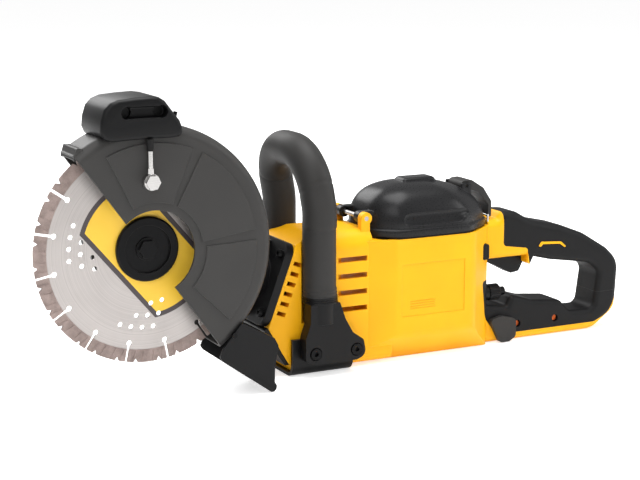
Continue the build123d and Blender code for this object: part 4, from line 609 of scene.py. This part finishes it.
@dataclass
class Guard:
    """Turning guard with its handle, skirt and water feed.

    Attributes:
        outline: Handle's outline, along X from the spindle and up from the drum's rim.
        handle_y: Near and far sides of the handle.
        drum: Drum's radius with the clearance, and its near and far sides.
        recess: Front, rear, lower and upper limits of the finger recess on each side.
        recess_depth: Depth of that recess.
        hole: Radius of the round pocket at each end of the recess.
        rim: Radius of the drum, which the outline's heights start from.
    """
    wardrobe: Wardrobe
    outline: tuple[tuple[float, float], ...] = (
        (-0.0545, -0.004), (-0.0535, 0.006), (-0.0500, 0.0165), (-0.0440, 0.0225), (-0.0360, 0.0255),
        (-0.0200, 0.0268), (-0.0030, 0.0274), (0.0050, 0.0262), (0.0110, 0.0225), (0.0155, 0.0165),
        (0.0205, 0.0100), (0.0260, 0.0030), (0.0285, -0.0040), (0.0285, -0.0125), (0.0180, -0.0135),
        (-0.0120, -0.0135), (-0.0440, -0.0145), (-0.0515, -0.0120))
    handle_y: tuple[float, float] = (-0.0928, -0.0302)
    drum: tuple[float, float, float] = (0.1262, -0.0852, -0.0358)
    recess: tuple[float, float, float, float] = (-0.030, 0.009, 0.0070, 0.0185)
    recess_depth: float = 0.008
    hole: float = 0.0062
    rim: float = 0.126

    def make_handle(self) -> bpy.types.Object:
        """Model the handle as one rounded moulding that saddles the drum.

        Returns:
            The handle.
        """
        near, far = self.handle_y
        rim = SPINDLE.z + self.rim
        start_clear()
        bpy.ops.mesh.primitive_circle_add(vertices=len(self.outline), radius=0.05, fill_type="NGON",
                                          location=(0.0, 0.0, 0.0))
        handle = name_piece("guard_handle_moulding")
        for corner, (x, z) in zip(handle.data.vertices, self.outline):
            corner.co = (SPINDLE.x + x, near, rim + z)
        bpy.ops.object.mode_set(mode="EDIT")
        bpy.ops.mesh.select_all(action="SELECT")
        bpy.ops.mesh.extrude_region_move(TRANSFORM_OT_translate={"value": (0.0, far - near, 0.0)})
        bpy.ops.mesh.select_all(action="SELECT")
        bpy.ops.mesh.normals_make_consistent(inside=False)
        bpy.ops.object.mode_set(mode="OBJECT")
        apply_modifier(handle, "BEVEL", width=0.0045, segments=5, limit_method="ANGLE",
                       angle_limit=math.radians(50))
        self.cut(handle, self.make_drum())
        front, rear, low, high = self.recess
        middle = (low + high) / 2
        for y, way in ((near, 1.0), (far, -1.0)):
            y0, y1 = sorted((y - way * 0.01, y + way * self.recess_depth))
            self.cut(handle, rounded_block("recess", (SPINDLE.x + front, y0, rim + low),
                                           (SPINDLE.x + rear, y1, rim + high), 0.003))
            for x in (front + 0.002, rear - 0.002):
                self.cut(handle, barrel("pocket", self.hole, Vector((SPINDLE.x + x, y0, rim + middle)),
                                        Vector((SPINDLE.x + x, y1 + way * 0.004, rim + middle)), 0.001))
        return settle(handle, 30.0)

    def make_drum(self) -> bpy.types.Object:
        """Cutter with the drum's outer form.

        Returns:
            The cutter.
        """
        radius, near, far = self.drum
        start_clear()
        bpy.ops.mesh.primitive_cylinder_add(vertices=240, radius=radius, depth=far - near,
                                            location=(SPINDLE.x, (near + far) / 2, SPINDLE.z),
                                            rotation=(math.radians(90), 0.0, 0.0))
        drum = name_piece("drum_form")
        settle(drum)
        apply_modifier(drum, "BEVEL", width=0.0095, segments=6, limit_method="ANGLE")
        return settle(drum)

    def cut(self, piece: bpy.types.Object, cutter: bpy.types.Object) -> None:
        """Take one form out of a piece and delete it.

        Args:
            piece: Piece that is cut.
            cutter: Form that is taken out.
        """
        apply_modifier(piece, "BOOLEAN", operation="DIFFERENCE", object=cutter, solver="EXACT")
        start_clear()
        cutter.select_set(True)
        bpy.ops.object.delete()

    def build(self) -> None:
        """Model the handle and dress the guard and what turns with it."""
        handle = self.make_handle()
        self.wardrobe.dress(handle, Finish.BLACK_MOULDING)
        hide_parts("guard_handle")
        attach(handle, "guard")
        LOG.info("%s: rounded handle with finger recesses", handle.name)
        self.wardrobe.dress_nodes({
            "guard_shell": Finish.GUARD_COAT, "guard_collar": Finish.CASTING,
            "guard_rivets": Finish.ZINC,
            "guard_screws": Finish.BLACK_STEEL, "guard_skirt": Finish.BLACK_MOULDING,
            "nozzle_bolts": Finish.ZINC, "water_pipes": Finish.ZINC,
            "pipe_nipples": Finish.RUBBER_SEAL,
        })


@dataclass
class Drive:
    """Gearcase, motor and what turns in them."""
    wardrobe: Wardrobe

    def build(self) -> None:
        """Dress the gearcase and the motor."""
        self.wardrobe.dress_nodes({
            "gear_case": Finish.CASTING, "gear_case_cap": Finish.CASTING,
            "gearcase_screws": Finish.BLACK_STEEL, "case_screws": Finish.BLACK_STEEL,
            "guard_retainer": Finish.TURNED_STEEL, "bearings": Finish.TURNED_STEEL,
            "stator_core": Finish.LAMINATION, "stator_windings": Finish.ENAMEL_WIRE,
            "rotor_core": Finish.LAMINATION, "rotor_shaft": Finish.TURNED_STEEL,
            "motor_pinion": Finish.TURNED_STEEL, "cooling_fan": Finish.BLACK_MOULDING,
            "spindle_lock_button": Finish.BLACK_MOULDING, "spindle_lock_spring": Finish.ZINC,
        })


@dataclass
class Body:
    """Yellow shells with the battery, its bay and the electrics inside."""
    wardrobe: Wardrobe

    def build(self) -> None:
        """Dress the shells and what they hold."""
        self.wardrobe.dress_nodes({
            "housing_left": Finish.YELLOW_SHELL, "housing_right": Finish.YELLOW_SHELL,
            "housing_screws": Finish.BLACK_STEEL, "belly_plate": Finish.BLACK_MOULDING,
            "hinge_pins": Finish.TURNED_STEEL, "power_switch": Finish.BLACK_MOULDING,
            "control_module": Finish.BATTERY_CASE, "battery_bay": Finish.BLACK_MOULDING,
            "battery_terminals": Finish.COPPER_SCREW, "battery_pack": Finish.BATTERY_CASE,
            "lid_gasket": Finish.RUBBER_SEAL, "latch_catch": Finish.ZINC,
        })


@dataclass
class BatteryLid:
    """Domed lid over the battery, with its latch.

    Attributes:
        plan: Half outline of the rim on the left, from front to rear.
        rim_low: Height of the rim's lower edge.
        rim_high: Height of the rim's upper edge.
        rings: Height, front, rear and half width of the dome, from the rim upwards.
        wall: Thickness of the moulding.
        panel: Front, rear, lower and upper limits of the recess in each flank.
        panel_depth: Depth of that recess.
        hinge: Hinge's axis, in X and Z.
        knuckle: Radius of the hinge's knuckles.
        knuckle_y: Each knuckle's two ends, from the centre plane.
        lug_y: Both sides of each of the latch's lugs, from the centre plane.
        rib_size: Length, width and height of the rib on top.
        rib_place: Centre of the rib.
    """
    wardrobe: Wardrobe
    plan: tuple[tuple[float, float], ...] = (
        (0.065, -0.012), (0.066, -0.024), (0.071, -0.034), (0.085, -0.0475), (0.096, -0.0525),
        (0.117, -0.053), (0.138, -0.053), (0.158, -0.053), (0.176, -0.0525), (0.187, -0.048),
        (0.202, -0.0365), (0.216, -0.0255), (0.2215, -0.018), (0.222, -0.008))
    rim_low: float = 0.1402
    rim_high: float = 0.1475
    rings: tuple[tuple[float, float, float, float], ...] = (
        (0.1500, 0.0672, 0.2195, 0.0512), (0.1570, 0.0676, 0.2178, 0.0510),
        (0.1660, 0.0695, 0.2125, 0.0492), (0.1750, 0.0735, 0.2040, 0.0450),
        (0.1830, 0.0805, 0.1910, 0.0385), (0.1890, 0.0915, 0.1750, 0.0295),
        (0.1925, 0.1060, 0.1580, 0.0185))
    wall: float = 0.0028
    panel: tuple[float, float, float, float] = (0.098, 0.178, 0.1495, 0.1665)
    panel_depth: float = 0.0022
    hinge: tuple[float, float] = (0.060, 0.161)
    knuckle: float = 0.0064
    knuckle_y: tuple[float, float] = (0.016, 0.0265)
    lug_y: tuple[float, float] = (0.0146, 0.018)
    rib_size: tuple[float, float, float] = (0.052, 0.030, 0.014)
    rib_place: tuple[float, float, float] = (0.140, 0.0, 0.190)

    def build(self) -> None:
        """Model the lid and dress it and its latch."""
        lid = self.make_dome()
        lid = join_into(lid, [*self.make_knuckles(), *self.make_lugs(), self.make_rib()])
        lid.data.materials.clear()
        for finish in (Finish.LID_SHELL, Finish.BLACK_MOULDING):
            lid.data.materials.append(self.wardrobe.get(finish))
        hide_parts("battery_lid")
        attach(lid, "lid")
        LOG.info("%s: smooth dome with recessed flanks", lid.name)
        self.wardrobe.dress_nodes({"lid_latch": Finish.HANDLE_GRIP, "latch_pin": Finish.TURNED_STEEL})

    def make_dome(self) -> bpy.types.Object:
        """Raise the dome ring by ring from the rim's outline, then smooth it.

        Returns:
            The dome with its rim, open below.
        """
        outline = [*self.plan, *[(x, -y) for x, y in reversed(self.plan)]]
        start_clear()
        bpy.ops.mesh.primitive_circle_add(vertices=len(outline), radius=0.05, fill_type="NGON",
                                          location=(0.0, 0.0, 0.0))
        dome = name_piece("battery_lid_dome")
        for corner, (x, y) in zip(dome.data.vertices, outline):
            corner.co = (x, y, self.rim_low)
        front, rear = outline[0][0], max(x for x, _ in outline)
        half = max(y for _, y in outline)
        bpy.ops.object.mode_set(mode="EDIT")
        bpy.ops.mesh.select_all(action="SELECT")
        previous = (self.rim_low, front, rear, half)
        steps = [(self.rim_low + 0.001, front, rear, half), (self.rim_high - 0.001, front, rear, half),
                 (self.rim_high, front + 0.0006, rear - 0.0006, half - 0.0006),
                 (self.rim_high + 0.0003, front + 0.0020, rear - 0.0022, half - 0.0018), *self.rings]
        for ring in steps:
            self.raise_ring(previous, ring)
            previous = ring
        bpy.ops.mesh.inset(thickness=0.006)
        bpy.ops.transform.translate(value=(0.0, 0.0, 0.0010))
        bpy.ops.object.mode_set(mode="OBJECT")
        select_faces(dome, lambda place, normal: normal.z < -0.9 and place.z < self.rim_low + MM)
        bpy.ops.mesh.delete(type="FACE")
        bpy.ops.object.mode_set(mode="OBJECT")
        self.sink_panels(dome)
        apply_modifier(dome, "SUBSURF", levels=2, render_levels=2)
        apply_modifier(dome, "SOLIDIFY", thickness=self.wall, offset=-1.0, use_rim=True)
        return settle(dome, 60.0)

    def raise_ring(self, low: tuple[float, float, float, float],
                   high: tuple[float, float, float, float]) -> None:
        """Extrude the selected top from one ring to the next.

        Args:
            low: Height, front, rear and half width of the ring below.
            high: The same of the new ring.
        """
        bpy.ops.mesh.extrude_region_move(TRANSFORM_OT_translate={"value": (0.0, 0.0, high[0] - low[0])})
        centre = Vector(((low[1] + low[2]) / 2, 0.0, high[0]))
        shares = ((high[2] - high[1]) / (low[2] - low[1]), high[3] / low[3], 1.0)
        bpy.ops.transform.resize(value=shares, center_override=centre)
        shift = (high[1] + high[2]) / 2 - centre.x
        bpy.ops.transform.translate(value=(shift, 0.0, 0.0))

    def sink_panels(self, dome: bpy.types.Object) -> None:
        """Press the flat recess into each flank and give it its own finish.

        Args:
            dome: Dome before it is smoothed.
        """
        front, rear, low, high = self.panel

        def on_flank(place: Vector, normal: Vector) -> bool:
            """Whether a face belongs to a flank's recess."""
            return (front < place.x < rear and low < place.z < high and abs(normal.y) > 0.6)

        for side in (-1.0, 1.0):
            select_faces(dome, lambda place, normal: on_flank(place, normal) and normal.y * side > 0)
            bpy.ops.mesh.inset(thickness=0.0008)
            bpy.ops.mesh.inset(thickness=0.0012, depth=-self.panel_depth)
            bpy.ops.object.mode_set(mode="OBJECT")
            for face in dome.data.polygons:
                if face.select:
                    face.material_index = 1

    def make_knuckles(self) -> list[bpy.types.Object]:
        """Barrels of the hinge, each on a stout arm.

        Returns:
            The hinge's pieces.
        """
        x, z = self.hinge
        pieces = []
        for side in (-1.0, 1.0):
            y0, y1 = sorted(side * y for y in self.knuckle_y)
            pieces.append(barrel("knuckle", self.knuckle, Vector((x, y0, z)), Vector((x, y1, z)), 0.0008))
            pieces.append(rounded_block("knuckle_arm", (x, y0, z - 0.0045),
                                        (x + 0.016, y1, z + 0.0062), 0.0018))
        return pieces

    def make_lugs(self) -> list[bpy.types.Object]:
        """Two lugs that hold the latch's pin.

        Returns:
            The lugs.
        """
        low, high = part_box("latch_pin")
        x, z = (low.x + high.x) / 2, (low.z + high.z) / 2
        lugs = []
        for side in (-1.0, 1.0):
            y0, y1 = sorted(side * y for y in self.lug_y)
            lugs.append(rounded_block("latch_lug", (x - 0.007, y0, z - 0.016),
                                      (x + 0.006, y1, z + 0.0035), 0.0012))
        return lugs

    def make_rib(self) -> bpy.types.Object:
        """Raised rib along the top of the dome.

        Returns:
            The rib.
        """
        start_clear()
        bpy.ops.mesh.primitive_cube_add(size=1.0, location=self.rib_place)
        rib = name_piece("lid_rib")
        rib.scale = self.rib_size
        settle(rib)
        select_faces(rib, lambda place, normal: normal.z > 0.9)
        bpy.ops.transform.resize(value=(0.72, 0.70, 1.0), center_override=(0.136, 0.0, 0.197))
        bpy.ops.object.mode_set(mode="OBJECT")
        apply_modifier(rib, "BEVEL", width=0.003, segments=4, limit_method="ANGLE")
        return settle(rib)


@dataclass
class RearHandle:
    """Rear handle with its trigger, lock-off, lower rail and water connector."""
    wardrobe: Wardrobe

    def build(self) -> None:
        """Dress the rear handle."""
        self.wardrobe.dress_nodes({
            "rear_grip_cover": Finish.SOFT_GRIP, "rail_cover": Finish.SOFT_GRIP,
            "grip_strips": Finish.YELLOW_SHELL, "rail_cover_screws": Finish.COPPER_SCREW,
            "rail_feet": Finish.HANDLE_GRIP, "water_inlet": Finish.BLACK_MOULDING,
            "water_valve_knob": Finish.BLACK_MOULDING, "trigger": Finish.BLACK_MOULDING,
            "trigger_spring": Finish.ZINC, "lockoff_button": Finish.BLACK_MOULDING,
        })


@dataclass
class FrontHandle:
    """Arched front handle on its feet and bent bracket.

    Attributes:
        leg_x: Place of the legs along the body.
        leg_y: Distance of each leg from the body's centre plane.
        bend_z: Height where the legs start to lean forward.
        crown: Place of the crown's middle line, in X and Z.
        foot_z: Height of the grip's lower end.
        radius: Radius of the grip.
        lean_round: Radius of the bend where the legs lean.
        crown_round: Radius of the crown's corners.
        spacing: Distance between the rings of the grip's mesh.
        seam_z: Height of the seam below the crown.
        seam_depth: Depth of that seam.
        panel_top_z: Height of the outer panel's upper end.
        panel_depth: Depth of the outer panel.
        ribs_top: How far above its lower end the grip is ribbed.
        rib_height: Height of the ribs.
        rib_spacing: Distance from rib to rib.
    """
    wardrobe: Wardrobe
    leg_x: float = -0.0035
    leg_y: float = 0.0495
    bend_z: float = 0.178
    crown: tuple[float, float] = (-0.014, 0.2375)
    foot_z: float = 0.0872
    radius: float = 0.0185
    lean_round: float = 0.060
    crown_round: float = 0.041
    spacing: float = 0.0013
    seam_z: float = 0.203
    seam_depth: float = 0.0007
    panel_top_z: float = 0.163
    panel_depth: float = 0.0009
    ribs_top: float = 0.009
    rib_height: float = 0.0006
    rib_spacing: float = 0.003

    def build(self) -> None:
        """Model the soft grip and dress the handle."""
        grip = self.make_grip()
        self.wardrobe.dress(grip, Finish.HANDLE_GRIP)
        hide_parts("front_handle_grip")
        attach(grip, "body")
        LOG.info("%s: soft arched grip with seams and ribs", grip.name)
        self.wardrobe.dress_nodes({
            "front_handle_tube": Finish.BLACK_MOULDING, "front_handle_feet": Finish.BLACK_MOULDING,
            "foot_bolts": Finish.BLACK_STEEL, "handle_bracket": Finish.BENT_PLATE,
        })

    def centre_line(self) -> list[Vector]:
        """Work out the grip's middle line from one foot over the crown to the other.

        Returns:
            Points along the line, evenly spaced.
        """
        crown_x, crown_z = self.crown
        half = [(self.leg_x, self.foot_z), (self.leg_x, self.bend_z), (crown_x, crown_z)]
        corners = [Vector((x, -self.leg_y, z)) for x, z in half]
        corners += [Vector((x, self.leg_y, z)) for x, z in reversed(half)]
        rounds = [0.0, self.lean_round, self.crown_round, self.crown_round, self.lean_round, 0.0]
        dense = [corners[0]]
        for before, corner, after, radius in zip(corners, corners[1:], corners[2:], rounds[1:]):
            into, out = (before - corner).normalized(), (after - corner).normalized()
            half_turn = into.angle(out) / 2
            reach = radius / math.tan(half_turn)
            middle = corner + (into + out).normalized() * radius / math.sin(half_turn)
            first, last = corner + into * reach - middle, corner + out * reach - middle
            dense += [middle + self.turn(first, last, i / 24) for i in range(25)]
        dense.append(corners[-1])
        return self.even(dense)

    def turn(self, first: Vector, last: Vector, share: float) -> Vector:
        """Turn one radius towards another of the same length.

        Args:
            first: Radius at share zero.
            last: Radius at share one.
            share: How far round.

        Returns:
            The radius between them.
        """
        angle = first.angle(last)
        return (first * math.sin((1 - share) * angle) + last * math.sin(share * angle)) / math.sin(angle)

    def even(self, line: list[Vector]) -> list[Vector]:
        """Space points evenly along a line.

        Args:
            line: Points in order, unevenly spaced.

        Returns:
            Points about one spacing apart.
        """
        lengths = [0.0]
        for before, after in zip(line, line[1:]):
            lengths.append(lengths[-1] + (after - before).length)
        count = round(lengths[-1] / self.spacing)
        points, segment = [], 0
        for i in range(count + 1):
            at = lengths[-1] * i / count
            while segment < len(line) - 2 and lengths[segment + 1] < at:
                segment += 1
            share = (at - lengths[segment]) / (lengths[segment + 1] - lengths[segment])
            points.append(line[segment].lerp(line[segment + 1], share))
        return points

    def make_grip(self) -> bpy.types.Object:
        """Sweep the grip round its middle line and mould its seams, panel and ribs.

        Returns:
            The grip.
        """
        line = self.centre_line()
        curve = bpy.data.curves.new("front_grip", "CURVE")
        curve.dimensions = "3D"
        curve.bevel_depth = self.radius
        curve.bevel_resolution = 14
        curve.use_fill_caps = True
        spline = curve.splines.new("POLY")
        spline.points.add(len(line) - 1)
        for point, place in zip(spline.points, line):
            point.co = (*place, 1.0)
        grip = bpy.data.objects.new("front_grip", curve)
        bpy.context.scene.collection.objects.link(grip)
        start_clear()
        grip.select_set(True)
        bpy.context.view_layer.objects.active = grip
        bpy.ops.object.convert(target="MESH")
        grip = bpy.context.object
        around = len(grip.data.vertices) // len(line)
        for index, corner in enumerate(grip.data.vertices[:around * len(line)]):
            centre = line[index // around]
            out = (corner.co - centre).normalized()
            corner.co = centre + out * (self.radius + self.relief(centre, out))
        return settle(grip, 50.0)

    def relief(self, centre: Vector, out: Vector) -> float:
        """Height of the grip's moulded detail above its round section.

        Args:
            centre: Point of the middle line.
            out: Direction from it to the surface.

        Returns:
            Height, below zero in seams and in the side panel.
        """
        outward = out.y * (1 if centre.y > 0 else -1)
        height = 0.0
        if centre.z < self.seam_z + 0.02:
            # the seam slopes, and is about 2 mm wide
            slant = 0.006 * outward
            height -= self.seam_depth * math.exp(-((centre.z - self.seam_z - slant) / 0.0011) ** 2)
        if self.foot_z + self.ribs_top < centre.z < self.panel_top_z + 0.002:
            edge = min(self.panel_top_z - centre.z, centre.z - self.foot_z - 0.010,
                       (outward - 0.15) * self.radius)
            height -= self.panel_depth * min(1.0, max(0.0, edge / 0.0016))
        if centre.z < self.foot_z + self.ribs_top:
            height += self.rib_height * math.cos((centre.z - self.foot_z) / self.rib_spacing * 2 * math.pi)
        return height


# ---------------------------------------------------------------- studio
@dataclass
class Studio:
    """Pale floor, soft lights and the camera.

    Attributes:
        azimuth: Side the camera stands on, in degrees from the left side's square view.
        elevation: Height of the camera's line of sight, in degrees.
        place: Where the camera stands.
        lens: Focal length in millimetres on a 36 mm sensor.
        room_light: Strength of the light that the white room gives back.
    """
    azimuth: float = -26.6
    elevation: float = 11.3
    place: tuple[float, float, float] = (-0.7387, -1.5185, 0.4743)
    lens: float = 90.0
    room_light: float = 0.40

    def build(self) -> None:
        """Make the floor, the lights and the camera."""
        self.add_floor()
        self.add_lights()
        self.add_camera()

    def add_floor(self) -> None:
        """A large, plain, pale floor."""
        bpy.ops.object.select_all(action="DESELECT")
        bpy.ops.mesh.primitive_plane_add(size=60.0, location=(0.0, 0.0, 0.0))
        floor = bpy.context.object
        floor.name = "studio_floor"
        material, tree, shader = new_material("studio floor")
        shader.inputs["Base Color"].default_value = (0.93, 0.93, 0.93, 1.0)
        shader.inputs["Roughness"].default_value = 0.9
        shader.inputs["Specular IOR Level"].default_value = 0.1
        shader.inputs["Emission Color"].default_value = (1.0, 1.0, 1.0, 1.0)
        # lit from below like a light table, so that its far end stays white too
        seen = add_node(tree, "ShaderNodeLightPath").outputs["Is Camera Ray"]
        glow = add_node(tree, "ShaderNodeMapRange", {0: seen, 3: 0.25, 4: 0.6})
        tree.links.new(glow.outputs[0], shader.inputs["Emission Strength"])
        floor.data.materials.append(material)

    def add_lights(self) -> None:
        """One large key from the front left, a top light, a rim light and a bright room."""
        centre = Vector((0.05, 0.0, 0.15))
        lights = (("key", (-1.3, -1.6, 1.7), 1.6, 17.0), ("top", (0.1, -0.2, 2.2), 1.8, 56.0),
                  ("rear_side", (1.7, -0.9, 1.0), 1.0, 9.0), ("rim", (-0.3, 1.8, 1.4), 1.4, 22.0))
        for name, place, size, power in lights:
            data = bpy.data.lights.new(name, "AREA")
            data.shape = "DISK"
            data.size = size
            data.energy = power
            light = bpy.data.objects.new(name, data)
            light.location = place
            light.rotation_euler = (centre - Vector(place)).to_track_quat("-Z", "Y").to_euler()
            bpy.context.scene.collection.objects.link(light)
        world = bpy.data.worlds.new("studio")
        world.use_nodes = True
        background = world.node_tree.nodes["Background"]
        background.inputs["Color"].default_value = (1.0, 1.0, 1.0, 1.0)
        # white where the camera sees it, dimmer as a light
        seen = add_node(world.node_tree, "ShaderNodeLightPath").outputs["Is Camera Ray"]
        strength = add_node(world.node_tree, "ShaderNodeMapRange", {0: seen, 3: self.room_light, 4: 1.0})
        world.node_tree.links.new(strength.outputs[0], background.inputs["Strength"])
        bpy.context.scene.world = world
        bpy.context.scene.view_settings.view_transform = "Standard"

    def add_camera(self) -> None:
        """Set the camera at its place, looking along its line of sight."""
        data = bpy.data.cameras.new("camera")
        data.lens = self.lens
        data.clip_end = 100.0
        camera = bpy.data.objects.new("camera", data)
        camera.location = self.place
        camera.rotation_euler = (math.radians(90 - self.elevation), 0.0, math.radians(self.azimuth))
        bpy.context.scene.collection.objects.link(camera)
        bpy.context.scene.camera = camera


def main() -> None:
    """Build the studio and each sub-assembly in order."""
    logging.basicConfig(level=logging.INFO, format="%(message)s")
    Studio().build()
    wardrobe = Wardrobe()
    for assembly in (CuttingDisc, Guard, Drive, Body, BatteryLid, RearHandle, FrontHandle):
        assembly(wardrobe).build()


if __name__ == "__main__":
    main()
